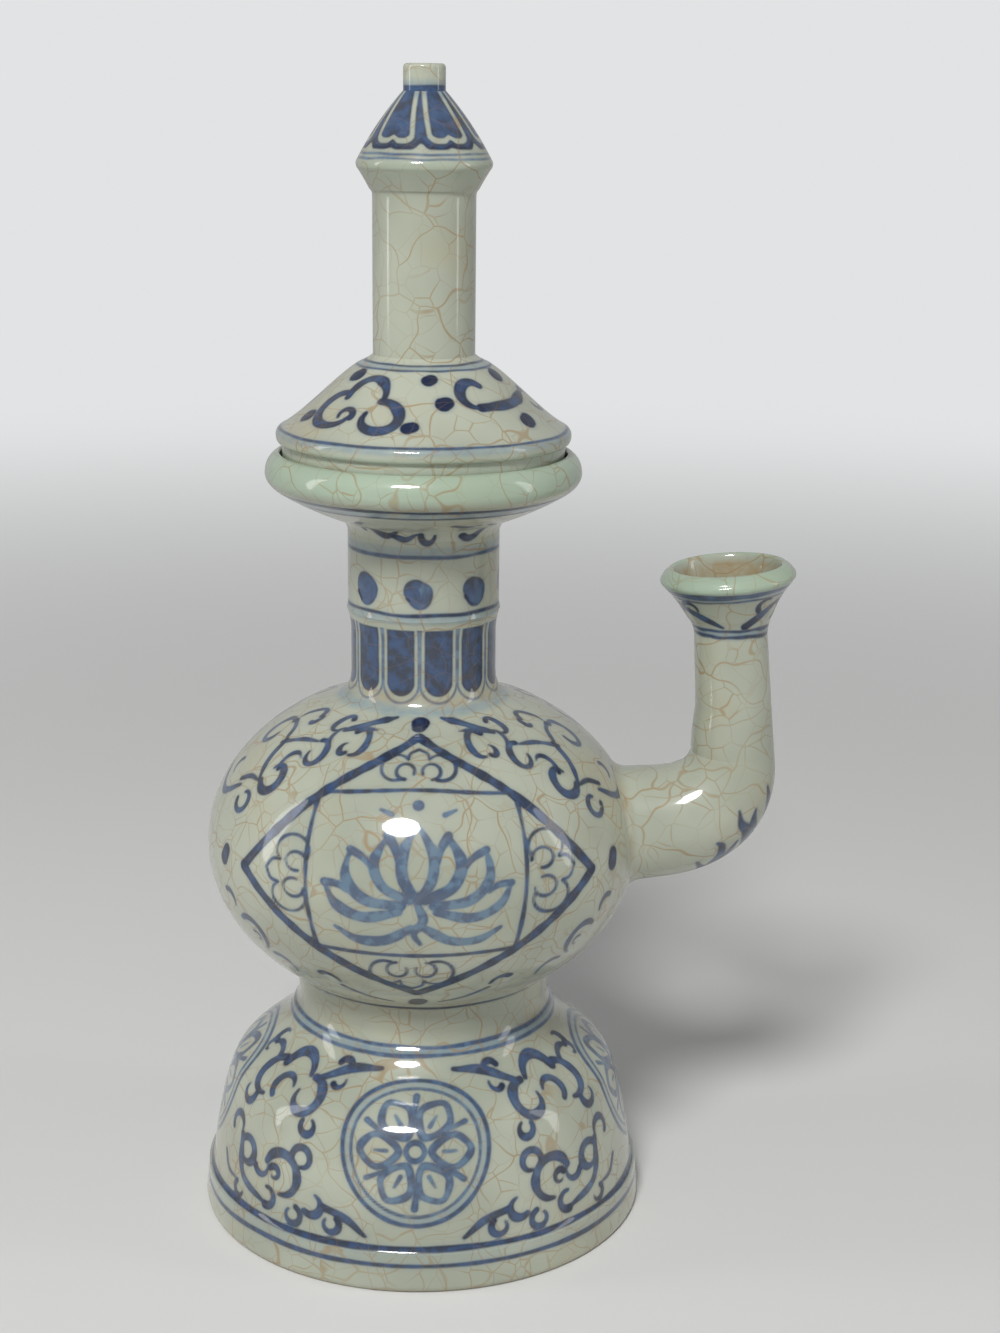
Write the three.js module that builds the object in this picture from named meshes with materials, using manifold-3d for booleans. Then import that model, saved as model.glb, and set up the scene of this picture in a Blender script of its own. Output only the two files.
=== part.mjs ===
// Kundika: a footed porcelain ewer with a side spout and a lift-off cover.
// Millimetres, +Z up. The vessel and its cover are thrown in sections, turned, and
// luted together at flat seams, so each section here is a mesh of its own.
import * as THREE from 'three';
import { mergeVertices } from 'three/addons/utils/BufferGeometryUtils.js';
import Module from 'manifold-3d';

const wasm = await Module();
wasm.setup();

// Driving dimensions: outside radii and heights of the turned sections, from the ground up
const footRadius = 51.2;
const footHeight = 47.6;
const footBandHeight = 8.7;
const footStep = 2;
const bellTaper = 6.9;
const bellShoulderDrop = 14.6;
const seatRound = 1.4;
const seatWidth = 4.6;
const waistRadius = 28.8;
const waistFlare = 1.4;
const waistHeight = 8.9;
const globeRadius = 48.9;
const globeHeight = 65.5;
const equatorRise = 31.1;
const globeLowerOver = 6.1;
const globeUpperOver = 2.4;
const bowlSeamRise = 17.5;
const neckRadius = 16.2;
const neckRootFlare = 2.3;
const neckRidgeProud = 0.9;
const upperNeckProud = 0.6;
const lowerNeckHeight = 19.8;
const upperNeckHeight = 17.6;
const dishRadius = 34.8;
const dishHeight = 17.1;
const dishLipDrop = 4.6;
const dishOverhang = 2.5;
const domeRimRise = 1.7;
const domeHeight = 19.1;
const tubeRadius = 11.1;
const tubeHeight = 34.8;
const capOverhang = 3.7;
const capFlangeRise = 5.4;
const capHeight = 20.3;
const nozzleRadius = 4.5;
const nozzleHeight = 5.5;

// Walls and bores
const footWall = 5;
const waistWall = 4;
const globeWall = 4;
const globeFloor = 4.5;
const neckWall = 3;
const dishWall = 3.4;
const domeWall = 3.2;
const tubeWall = 3.7;
const nozzleBore = 1.5;

// The cover stands on a ledge inside the dish, on a ring that keeps it central
const coverStandsProud = 2.2;
const ringDepth = 6.8;
const ringWall = 3.2;
const ringInset = 1.3;
const coverClearance = 0.4;
const ledgeWidth = 3.4;

// Spout: the joint is measured from the bottom of the globe, its reach from the globe's side
const spoutJointRise = 34.9;
const spoutArmRadius = 13.2;
const spoutArmReach = 5;
const spoutArmTaper = 0.4;
const spoutRiserReach = 21.9;
const spoutElbowRise = 17.2;
const spoutRiserRadius = 8.9;
const spoutTopRadius = 8.2;
const spoutLean = 2;
const spoutRiserHeight = 27.4;
const spoutWall = 3;
const cupRadius = 15.1;
const cupHeight = 15.8;
const cupTilt = THREE.MathUtils.degToRad(4.8);
const cupWall = 2.6;
const lutingGap = 0.3;

// Facets
const turnedSides = 32;
const spoutSides = 20;
const curveSteps = 3;
const envelopeSteps = 24;
const elbowSteps = 8;

// Heights of the seams between the sections
const waistBottom = footHeight;
const globeBottom = waistBottom + waistHeight;
const equator = globeBottom + equatorRise;
const bowlSeam = globeBottom + bowlSeamRise;
const neckBottom = globeBottom + globeHeight;
const neckRidge = neckBottom + lowerNeckHeight;
const dishBottom = neckRidge + upperNeckHeight;
const dishTop = dishBottom + dishHeight;
const domeBottom = dishTop + coverStandsProud;
const ledge = domeBottom - ringDepth;
const tubeBottom = domeBottom + domeHeight;
const capBottom = tubeBottom + tubeHeight;
const nozzleBottom = capBottom + capHeight;
const nozzleTop = nozzleBottom + nozzleHeight;

// Sizes that follow from their neighbours
const bellShoulderRadius = footRadius - bellTaper;
const bellShoulderHeight = footHeight - bellShoulderDrop;
const waistFootRadius = waistRadius + waistFlare;
const globeLowerHalf = equatorRise + globeLowerOver;
const globeUpperHalf = globeHeight - equatorRise + globeUpperOver;
const neckRootRadius = neckRadius + neckRootFlare;
const neckRidgeRadius = neckRadius + neckRidgeProud;
const upperNeckRadius = neckRadius + upperNeckProud;
const neckBore = neckRadius - neckWall;
const domeRadius = dishRadius - dishOverhang;
const ringRadius = domeRadius - ringInset;
const tubeBore = tubeRadius - tubeWall;
const capRadius = tubeRadius + capOverhang;
const spoutJointHeight = globeBottom + spoutJointRise;
const spoutElbowStart = globeRadius + spoutArmReach;
const spoutElbowRadius = spoutArmRadius - spoutArmTaper;
const spoutHoleRadius = spoutArmRadius - globeWall;
const spoutRiserX = globeRadius + spoutRiserReach;
const spoutElbowTop = spoutJointHeight + spoutElbowRise;

const glaze = { roughness: 0.2, metalness: 0 };
const paleGlaze = new THREE.MeshStandardMaterial({ color: 0xc3c6b6, ...glaze });
const paintedGlaze = new THREE.MeshStandardMaterial({ color: 0xa9b3b4, ...glaze });
const celadonGlaze = new THREE.MeshStandardMaterial({ color: 0xb4c9b8, ...glaze });

// One closed body: shared vertices, no collapsed triangles, faces pointing out
function closedBody(geometry) {
  geometry.deleteAttribute('normal');
  geometry.deleteAttribute('uv');
  const merged = mergeVertices(geometry, 1e-4);
  const kept = [];
  const index = merged.index.array;
  for (let i = 0; i < index.length; i += 3) {
    const [a, b, c] = [index[i], index[i + 1], index[i + 2]];
    if (a !== b && b !== c && c !== a) kept.push(a, b, c);
  }
  merged.setIndex(kept);
  if (signedVolume(merged) < 0) {
    for (let i = 0; i < kept.length; i += 3) [kept[i], kept[i + 1]] = [kept[i + 1], kept[i]];
    merged.setIndex(kept);
  }
  return merged;
}

function signedVolume(geometry) {
  const points = geometry.attributes.position;
  const index = geometry.index.array;
  const [a, b, c] = [new THREE.Vector3(), new THREE.Vector3(), new THREE.Vector3()];
  let volume = 0;
  for (let i = 0; i < index.length; i += 3) {
    a.fromBufferAttribute(points, index[i]);
    b.fromBufferAttribute(points, index[i + 1]);
    c.fromBufferAttribute(points, index[i + 2]);
    volume += a.dot(b.cross(c)) / 6;
  }
  return volume;
}

function toManifold(geometry) {
  return new wasm.Manifold(new wasm.Mesh({
    numProp: 3,
    vertProperties: new Float32Array(geometry.attributes.position.array),
    triVerts: new Uint32Array(geometry.index.array),
  }));
}

function fromManifold(solid) {
  const mesh = solid.getMesh();
  const geometry = new THREE.BufferGeometry();
  geometry.setAttribute('position', new THREE.BufferAttribute(mesh.vertProperties, 3));
  geometry.setIndex(Array.from(mesh.triVerts));
  return geometry;
}

// A solid of revolution about Z from a section drawn in (radius, height)
function turned(section, steps = curveSteps) {
  const points = section.getPoints(steps);
  if (!points[0].equals(points.at(-1)) && points.at(-1).x > 0) points.push(points[0].clone());
  const geometry = new THREE.LatheGeometry(points, turnedSides);
  geometry.rotateX(Math.PI / 2);
  return closedBody(geometry);
}

// Rings of a bent tube, each { x, z, lean, radius }, where lean is the angle of the
// ring's axis from vertical towards -X. The last ring closes on the first.
function ringedTube(rings) {
  const positions = [];
  const index = [];
  for (const { x, z, lean, radius } of rings) {
    for (let i = 0; i < spoutSides; i++) {
      const turn = (i / spoutSides) * 2 * Math.PI;
      const across = radius * Math.cos(turn);
      positions.push(x + across * Math.cos(lean), radius * Math.sin(turn), z + across * Math.sin(lean));
    }
  }
  for (let r = 0; r < rings.length; r++) {
    const next = (r + 1) % rings.length;
    for (let i = 0; i < spoutSides; i++) {
      const j = (i + 1) % spoutSides;
      const [a, b] = [r * spoutSides + i, r * spoutSides + j];
      const [c, d] = [next * spoutSides + i, next * spoutSides + j];
      index.push(a, b, d, a, d, c);
    }
  }
  const geometry = new THREE.BufferGeometry();
  geometry.setAttribute('position', new THREE.Float32BufferAttribute(positions, 3));
  geometry.setIndex(index);
  return closedBody(geometry);
}

// The globe is two half ellipsoids that meet at the equator. These give the angle on the
// half ellipse of a height, and the height on its inside of a radius.
function halfHeight(z, inset) {
  return (z < equator ? globeLowerHalf : globeUpperHalf) - inset;
}

function globeAngle(z, inset = 0) {
  return Math.asin((z - equator) / halfHeight(z, inset));
}

function globeRadiusAt(z, inset = 0) {
  return (globeRadius - inset) * Math.cos(globeAngle(z, inset));
}

function globeTopAt(radius, inset) {
  return equator + (globeUpperHalf - inset) * Math.sqrt(1 - (radius / (globeRadius - inset)) ** 2);
}

function globeArc(section, from, to, inset = 0) {
  const clockwise = to < from;
  for (const [start, end] of splitAtEquator(from, to)) {
    section.absellipse(0, equator, globeRadius - inset, halfHeight((start + end) / 2, inset),
      globeAngleOn(start, end, inset), globeAngleOn(end, start, inset), clockwise, 0);
  }
}

function splitAtEquator(from, to) {
  const crosses = (from - equator) * (to - equator) < 0;
  return crosses ? [[from, equator], [equator, to]] : [[from, to]];
}

function globeAngleOn(z, other, inset) {
  return Math.asin((z - equator) / halfHeight((z + other) / 2, inset));
}

// Bell foot: a banded edge to stand on, a stepped ledge, steep sides and a round shoulder
function bellFoot() {
  const section = new THREE.Path();
  const ledgeRadius = footRadius - footStep;
  const seatInner = footRadius - seatRound - seatWidth;
  section.moveTo(seatInner, 0);
  section.lineTo(footRadius - seatRound, 0);
  section.quadraticCurveTo(footRadius, 0, footRadius, seatRound);
  section.lineTo(footRadius - 0.7, footBandHeight);
  section.quadraticCurveTo(ledgeRadius + 0.4, footBandHeight + 0.4, ledgeRadius, footBandHeight + 2);
  section.bezierCurveTo(ledgeRadius - 0.9, bellShoulderHeight - 13,
    bellShoulderRadius + 1.9, bellShoulderHeight - 4.3, bellShoulderRadius, bellShoulderHeight);
  section.bezierCurveTo(bellShoulderRadius - 2.4, bellShoulderHeight + 5.4,
    waistFootRadius + 2.2, footHeight - 6, waistFootRadius, footHeight);
  section.lineTo(waistFootRadius - waistWall, footHeight);
  section.bezierCurveTo(waistFootRadius - waistWall + 1.4, footHeight - 8.4,
    bellShoulderRadius - footWall - 3.6, bellShoulderHeight + 4,
    bellShoulderRadius - footWall, bellShoulderHeight - 3);
  section.lineTo(seatInner, 8);
  section.lineTo(seatInner, 0);
  return turned(section);
}

// Waist: a short open collar between the foot and the globe
function waistCollar() {
  const section = new THREE.Path();
  const bore = waistRadius - waistWall;
  section.moveTo(waistFootRadius, waistBottom);
  section.quadraticCurveTo(waistRadius, waistBottom + 1.6, waistRadius, waistBottom + waistHeight * 0.4);
  section.lineTo(waistRadius + 0.2, globeBottom);
  section.lineTo(bore, globeBottom);
  section.lineTo(bore, waistBottom + waistHeight * 0.4);
  section.quadraticCurveTo(bore, waistBottom + 1.6, waistFootRadius - waistWall, waistBottom);
  section.lineTo(waistFootRadius, waistBottom);
  return turned(section);
}

// Lower bowl of the globe, with the floor that holds the water
function lowerBowl() {
  const section = new THREE.Path();
  const filletTop = globeBottom + 3.5;
  const floorTop = globeBottom + globeFloor;
  const filletRadius = globeRadiusAt(filletTop);
  const slope = ((globeRadius / globeLowerHalf) ** 2) * (equator - filletTop) / filletRadius;
  section.moveTo(0, globeBottom);
  section.lineTo(waistRadius + 0.2, globeBottom);
  section.quadraticCurveTo(filletRadius - slope * 1.6, filletTop - 1.6, filletRadius, filletTop);
  globeArc(section, filletTop, bowlSeam);
  section.lineTo(globeRadiusAt(bowlSeam, globeWall), bowlSeam);
  globeArc(section, bowlSeam, floorTop, globeWall);
  section.lineTo(0, floorTop);
  return turned(section);
}

// Upper bowl of the globe, open at the neck, with the hole that feeds the spout
function upperBowl() {
  const section = new THREE.Path();
  const shoulder = neckBottom - 3.4;
  section.moveTo(globeRadiusAt(bowlSeam), bowlSeam);
  globeArc(section, bowlSeam, shoulder);
  section.quadraticCurveTo(neckRootRadius + 0.9, neckBottom - 1.2, neckRootRadius, neckBottom);
  section.lineTo(neckBore, neckBottom);
  section.lineTo(neckBore, globeTopAt(neckBore, globeWall));
  globeArc(section, globeTopAt(neckBore, globeWall), bowlSeam, globeWall);
  section.lineTo(globeRadiusAt(bowlSeam), bowlSeam);
  const hole = new THREE.CylinderGeometry(spoutHoleRadius, spoutHoleRadius, globeRadius, spoutSides);
  hole.rotateZ(Math.PI / 2);
  hole.translate(globeRadius, 0, spoutJointHeight);
  return fromManifold(toManifold(turned(section)).subtract(toManifold(closedBody(hole))));
}

// Lower neck, from the fillet on the globe to the ridge where the neck was luted
function lowerNeck() {
  const section = new THREE.Path();
  section.moveTo(neckRootRadius, neckBottom);
  section.quadraticCurveTo(neckRadius, neckBottom + 1.2, neckRadius, neckBottom + 6);
  section.lineTo(neckRadius, neckRidge - 4.6);
  section.quadraticCurveTo(neckRadius + 0.2, neckRidge - 2, neckRidgeRadius, neckRidge);
  section.lineTo(neckBore, neckRidge);
  section.lineTo(neckBore, neckBottom);
  section.lineTo(neckRootRadius, neckBottom);
  return turned(section);
}

function upperNeck() {
  const section = new THREE.Path();
  section.moveTo(neckRidgeRadius, neckRidge);
  section.quadraticCurveTo(upperNeckRadius, neckRidge + 0.9, upperNeckRadius, neckRidge + 2.4);
  section.lineTo(upperNeckRadius, dishBottom);
  section.lineTo(neckBore, dishBottom);
  section.lineTo(neckBore, neckRidge);
  section.lineTo(neckRidgeRadius, neckRidge);
  return turned(section);
}

// Dish mouth: flares from the neck to a thick round lip, with a ledge inside for the cover
function dishMouth() {
  const section = new THREE.Path();
  const lipInner = ringRadius + coverClearance;
  const lipMiddle = dishTop - dishLipDrop;
  const ledgeInner = lipInner - ledgeWidth;
  section.moveTo(upperNeckRadius, dishBottom);
  section.quadraticCurveTo(upperNeckRadius + 0.3, dishBottom + 1.6, upperNeckRadius + 1.8, dishBottom + 2.6);
  section.quadraticCurveTo(dishRadius - 9, lipMiddle - 7.3, dishRadius - 3.2, lipMiddle - 3.8);
  section.quadraticCurveTo(dishRadius - 0.2, lipMiddle - 2.2, dishRadius, lipMiddle);
  section.quadraticCurveTo(dishRadius, dishTop - 1.9, dishRadius - 1.8, dishTop - 0.5);
  section.quadraticCurveTo(dishRadius - 2.4, dishTop, dishRadius - 2.8, dishTop);
  section.lineTo(lipInner + 0.3, dishTop);
  section.lineTo(lipInner, dishTop - 0.4);
  section.lineTo(lipInner, ledge);
  section.lineTo(ledgeInner, ledge);
  section.quadraticCurveTo(neckBore + 3.4, dishBottom + dishWall + 2.6, neckBore, dishBottom + dishWall - 1.6);
  section.lineTo(neckBore, dishBottom);
  section.lineTo(upperNeckRadius, dishBottom);
  return turned(section);
}

// Cover: the ring that stands on the dish's ledge
function coverRing() {
  const section = new THREE.Path();
  section.moveTo(ringRadius - ringWall, ledge);
  section.lineTo(ringRadius - 0.4, ledge);
  section.lineTo(ringRadius, ledge + 0.4);
  section.lineTo(ringRadius, domeBottom);
  section.lineTo(ringRadius - ringWall, domeBottom);
  section.lineTo(ringRadius - ringWall, ledge);
  return turned(section);
}

function coverDome() {
  const section = new THREE.Path();
  const rim = domeBottom + domeRimRise;
  const boreTop = tubeBottom - domeWall - 1.2;
  section.moveTo(ringRadius - ringWall, domeBottom);
  section.lineTo(domeRadius - 0.9, domeBottom);
  section.quadraticCurveTo(domeRadius, domeBottom + 0.2, domeRadius, rim);
  section.quadraticCurveTo(domeRadius, rim + 1.3, domeRadius - 1.3, rim + 1.8);
  section.bezierCurveTo(domeRadius - 6.9, rim + 5.2, tubeRadius + 8, tubeBottom - 4.9,
    tubeRadius + 3.1, tubeBottom - 1.9);
  section.quadraticCurveTo(tubeRadius + 0.5, tubeBottom - 0.8, tubeRadius, tubeBottom);
  section.lineTo(tubeBore, tubeBottom);
  section.lineTo(tubeBore, boreTop);
  section.bezierCurveTo(tubeBore + 6.5, boreTop - 1.2, ringRadius - ringWall - 3.6, rim + 3.6,
    ringRadius - ringWall, domeBottom);
  return turned(section);
}

function coverTube() {
  const section = new THREE.Path();
  section.moveTo(tubeRadius, tubeBottom);
  section.lineTo(tubeRadius, capBottom - 1.4);
  section.quadraticCurveTo(tubeRadius, capBottom - 0.4, tubeRadius + 0.6, capBottom);
  section.lineTo(tubeBore, capBottom);
  section.lineTo(tubeBore, tubeBottom);
  section.lineTo(tubeRadius, tubeBottom);
  return turned(section);
}

// Cap: a flanged cone that closes the tube down to the pouring nozzle
function coverCap() {
  const section = new THREE.Path();
  const flange = capBottom + capFlangeRise;
  section.moveTo(tubeRadius + 0.6, capBottom);
  section.quadraticCurveTo(capRadius - 1.6, flange - 2.6, capRadius - 0.4, flange - 0.9);
  section.quadraticCurveTo(capRadius, flange, capRadius - 0.5, flange + 0.8);
  section.quadraticCurveTo(nozzleRadius + 5.9, nozzleBottom - 6.6, nozzleRadius, nozzleBottom);
  section.lineTo(nozzleBore, nozzleBottom);
  section.lineTo(nozzleBore, nozzleBottom - 2);
  section.lineTo(tubeBore, flange);
  section.lineTo(tubeBore, capBottom);
  section.lineTo(tubeRadius + 0.6, capBottom);
  return turned(section);
}

function coverNozzle() {
  const section = new THREE.Path();
  section.moveTo(nozzleRadius, nozzleBottom);
  section.lineTo(nozzleRadius, nozzleTop - 1);
  section.quadraticCurveTo(nozzleRadius, nozzleTop, nozzleRadius - 1, nozzleTop);
  section.lineTo(nozzleBore, nozzleTop);
  section.lineTo(nozzleBore, nozzleBottom);
  section.lineTo(nozzleRadius, nozzleBottom);
  return turned(section);
}

// Spout arm: comes straight out of the globe and turns up in a full elbow.
// It is cut to the globe's curve, a luting gap away from it.
function spoutArm() {
  const start = new THREE.Vector2(globeRadius - 14, spoutJointHeight - 1.6);
  const bend = new THREE.QuadraticBezierCurve(
    new THREE.Vector2(spoutElbowStart, spoutJointHeight + 0.3),
    new THREE.Vector2(spoutRiserX - 0.3, spoutJointHeight + 2.2),
    new THREE.Vector2(spoutRiserX, spoutElbowTop),
  );
  const outer = [{ x: start.x, z: start.y, lean: -Math.PI / 2, radius: spoutArmRadius + 0.6 }];
  const inner = [{ ...outer[0], radius: spoutHoleRadius }];
  for (let i = 0; i <= elbowSteps; i++) {
    const t = i / elbowSteps;
    const centre = bend.getPoint(t);
    const direction = bend.getTangent(t);
    const lean = i === elbowSteps ? 0 : -Math.atan2(direction.x, direction.y);
    const shrink = spoutElbowRadius - spoutRiserRadius;
    const radius = spoutElbowRadius - shrink * t * (0.23 + 0.77 * t);
    const bore = THREE.MathUtils.lerp(spoutHoleRadius, spoutRiserRadius - spoutWall, t);
    outer.push({ x: centre.x, z: centre.y, lean, radius });
    inner.push({ x: centre.x, z: centre.y, lean, radius: bore });
  }
  const arm = ringedTube([...outer, ...inner.reverse()]);
  const globe = new THREE.Path();
  globe.absellipse(0, equator, globeRadius + lutingGap, globeLowerHalf + lutingGap, -Math.PI / 2, 0);
  globe.absellipse(0, equator, globeRadius + lutingGap, globeUpperHalf + lutingGap, 0, Math.PI / 2);
  return fromManifold(toManifold(arm).subtract(toManifold(turned(globe, envelopeSteps))));
}

function spoutRiser() {
  const bottom = { x: spoutRiserX, z: spoutElbowTop, lean: 0 };
  const top = { x: spoutRiserX - spoutLean, z: spoutElbowTop + spoutRiserHeight, lean: 0 };
  const middle = { x: (bottom.x + top.x) / 2, z: (bottom.z + top.z) / 2, lean: 0 };
  const middleRadius = (spoutRiserRadius + spoutTopRadius) / 2;
  return ringedTube([
    { ...bottom, radius: spoutRiserRadius },
    { ...middle, radius: middleRadius },
    { ...top, radius: spoutTopRadius },
    { ...top, radius: spoutTopRadius - spoutWall },
    { ...middle, radius: middleRadius - spoutWall },
    { ...bottom, radius: spoutRiserRadius - spoutWall },
  ]);
}

// Cup on top of the spout, tilted a little towards the body
function spoutCup() {
  const baseX = spoutRiserX - spoutLean;
  const baseZ = spoutElbowTop + spoutRiserHeight;
  const bore = spoutTopRadius - spoutWall;
  const tiltedBy = (height) => Math.min(1, height / (cupHeight * 0.4)) * cupTilt;
  const ring = (radius, height) => ({
    x: baseX - height * Math.sin(cupTilt),
    z: baseZ + height * Math.cos(cupTilt),
    lean: tiltedBy(height),
    radius,
  });
  return ringedTube([
    ring(spoutTopRadius, 0),
    ring(spoutTopRadius + 0.3, 2.2),
    ring(spoutTopRadius + 1.5, 4.6),
    ring(cupRadius - 1.6, cupHeight - 5),
    ring(cupRadius - 0.5, cupHeight - 3.6),
    ring(cupRadius, cupHeight - 2.7),
    ring(cupRadius - 0.4, cupHeight - 1.8),
    ring(cupRadius - 1.6, cupHeight - 0.5),
    ring(cupRadius - 2.2, cupHeight),
    ring(cupRadius - cupWall - 0.3, cupHeight - 0.1),
    ring(cupRadius - cupWall - 0.9, cupHeight - 1.2),
    ring(bore + 5.3, cupHeight - 6),
    ring(bore + 1.9, 5.4),
    ring(bore + 0.4, 2.4),
    ring(bore, 0),
  ]);
}

function part(name, geometry, material) {
  const mesh = new THREE.Mesh(geometry, material);
  geometry.computeVertexNormals();
  mesh.name = name;
  return mesh;
}

const vessel = new THREE.Group();
vessel.add(
  part('bell_foot', bellFoot(), paintedGlaze),
  part('waist_collar', waistCollar(), paleGlaze),
  part('lower_bowl', lowerBowl(), paintedGlaze),
  part('upper_bowl', upperBowl(), paintedGlaze),
  part('lower_neck', lowerNeck(), paintedGlaze),
  part('upper_neck', upperNeck(), paintedGlaze),
  part('dish_mouth', dishMouth(), celadonGlaze),
  part('spout_arm', spoutArm(), paleGlaze),
  part('spout_riser', spoutRiser(), paleGlaze),
  part('spout_cup', spoutCup(), celadonGlaze),
);

const cover = new THREE.Group();
cover.add(
  part('cover_ring', coverRing(), paleGlaze),
  part('cover_dome', coverDome(), paintedGlaze),
  part('cover_tube', coverTube(), paleGlaze),
  part('cover_cap', coverCap(), paintedGlaze),
  part('cover_nozzle', coverNozzle(), paleGlaze),
);

// The origin is on the ground below the middle of the whole outline, spout included
const kundika = new THREE.Group();
kundika.add(vessel, cover);
const outline = new THREE.Box3().setFromObject(kundika);
kundika.position.x = -(outline.min.x + outline.max.x) / 2;

export default kundika;
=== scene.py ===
from math import asin, ceil, cos, floor, hypot, pi, radians, sin, sqrt

import bpy
import numpy as np
from mathutils import Matrix, Vector


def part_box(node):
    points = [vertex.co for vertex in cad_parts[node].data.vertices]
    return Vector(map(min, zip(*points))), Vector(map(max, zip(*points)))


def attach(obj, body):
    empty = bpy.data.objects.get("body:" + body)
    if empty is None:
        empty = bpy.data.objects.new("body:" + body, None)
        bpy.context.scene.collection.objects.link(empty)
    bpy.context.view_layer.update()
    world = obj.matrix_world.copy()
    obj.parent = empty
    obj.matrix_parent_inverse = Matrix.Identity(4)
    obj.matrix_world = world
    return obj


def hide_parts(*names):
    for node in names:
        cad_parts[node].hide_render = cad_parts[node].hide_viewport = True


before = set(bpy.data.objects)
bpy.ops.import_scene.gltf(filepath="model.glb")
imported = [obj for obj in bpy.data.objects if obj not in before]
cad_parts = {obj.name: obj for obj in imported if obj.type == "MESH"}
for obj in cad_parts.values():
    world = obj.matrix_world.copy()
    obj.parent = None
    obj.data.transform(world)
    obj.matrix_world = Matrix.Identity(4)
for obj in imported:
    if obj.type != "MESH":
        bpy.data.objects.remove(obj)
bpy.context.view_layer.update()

mm = 0.001

# Everything below is in millimetres from the turned axis, until a mesh is made
footLow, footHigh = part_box("bell_foot")
axisX = (footLow.x + footHigh.x) / 2 / mm


def bottomOf(node):
    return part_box(node)[0].z / mm


def topOf(node):
    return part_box(node)[1].z / mm


def radiusOf(node):
    low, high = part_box(node)
    return (high.y - low.y) / 2 / mm


# Camera: a portrait lens a little above the pot, looking down on it
view = {
    "place": (17.2, -475, 255),
    "down": 15.0,
    "roll": 0.63,
    "lens": 59.04,
}


def makeCamera():
    data = bpy.data.cameras.new("view")
    data.lens = view["lens"]
    data.sensor_width = 36
    data.clip_end = 50
    camera = bpy.data.objects.new("view", data)
    x, y, z = view["place"]
    tip = Matrix.Rotation(radians(90 - view["down"]), 4, "X")
    turn = tip @ Matrix.Rotation(radians(view["roll"]), 4, "Z")
    camera.matrix_world = Matrix.Translation(((x + axisX) * mm, y * mm, z * mm)) @ turn
    bpy.context.scene.collection.objects.link(camera)
    bpy.context.scene.camera = camera


makeCamera()
print("camera placed")


class Wire:
    # One socket of a node tree. Sums on it add Math nodes to the tree.
    def __init__(self, tree, socket=None):
        self.tree = tree
        self.socket = socket

    def node(self, kind, settings=None, values=None, out=0):
        made = self.tree.nodes.new(kind)
        for name, value in (settings or {}).items():
            setattr(made, name, value)
        for name, value in (values or {}).items():
            if isinstance(value, Wire):
                self.tree.links.new(value.socket, made.inputs[name])
            else:
                made.inputs[name].default_value = value
        return Wire(self.tree, made.outputs[out])

    def also(self, out):
        return Wire(self.tree, self.socket.node.outputs[out])

    def math(self, operation, first, second=0.0):
        return self.node("ShaderNodeMath", {"operation": operation}, {0: first, 1: second})

    def __add__(self, other):
        return self.math("ADD", self, other)

    def __sub__(self, other):
        return self.math("SUBTRACT", self, other)

    def __rsub__(self, other):
        return self.math("SUBTRACT", other, self)

    def __mul__(self, other):
        return self.math("MULTIPLY", self, other)

    def __truediv__(self, other):
        return self.math("DIVIDE", self, other)

    __radd__ = __add__
    __rmul__ = __mul__

    def atLeast(self, other):
        return self.math("MAXIMUM", self, other)

    def atMost(self, other):
        return self.math("MINIMUM", self, other)

    def rise(self, start, end):
        # 0 before start, 1 after end, and a soft slope between
        return self.node("ShaderNodeMapRange", {"interpolation_type": "SMOOTHSTEP"},
                         {"Value": self, "From Min": start, "From Max": end})

    def mixed(self, first, second):
        # this value mixes two colours
        return self.node("ShaderNodeMix", {"data_type": "RGBA"}, {0: self, 6: first, 7: second}, 2)


def rgb(red, green, blue):
    # A colour as a paint program names it, made linear
    def linear(part):
        part = part / 255
        return part / 12.92 if part <= 0.04045 else ((part + 0.055) / 1.055) ** 2.4
    return (linear(red), linear(green), linear(blue), 1)


# Glaze: one recipe, with the painting under it
glaze = {
    "white": rgb(178, 182, 165),
    "shade": rgb(160, 165, 149),
    "warm": rgb(174, 167, 138),
    "celadon": rgb(158, 180, 158),
    "cobaltDark": rgb(6, 26, 60),
    "cobalt": rgb(22, 60, 108),
    "cobaltThin": rgb(74, 110, 142),
    "wash": rgb(104, 134, 154),
    "crackle": rgb(150, 118, 68),
    "stain": rgb(156, 124, 72),
    "clay": rgb(158, 112, 76),
    "crackleSize": 5.6,
    "crackleWidth": 0.15,
}


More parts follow.
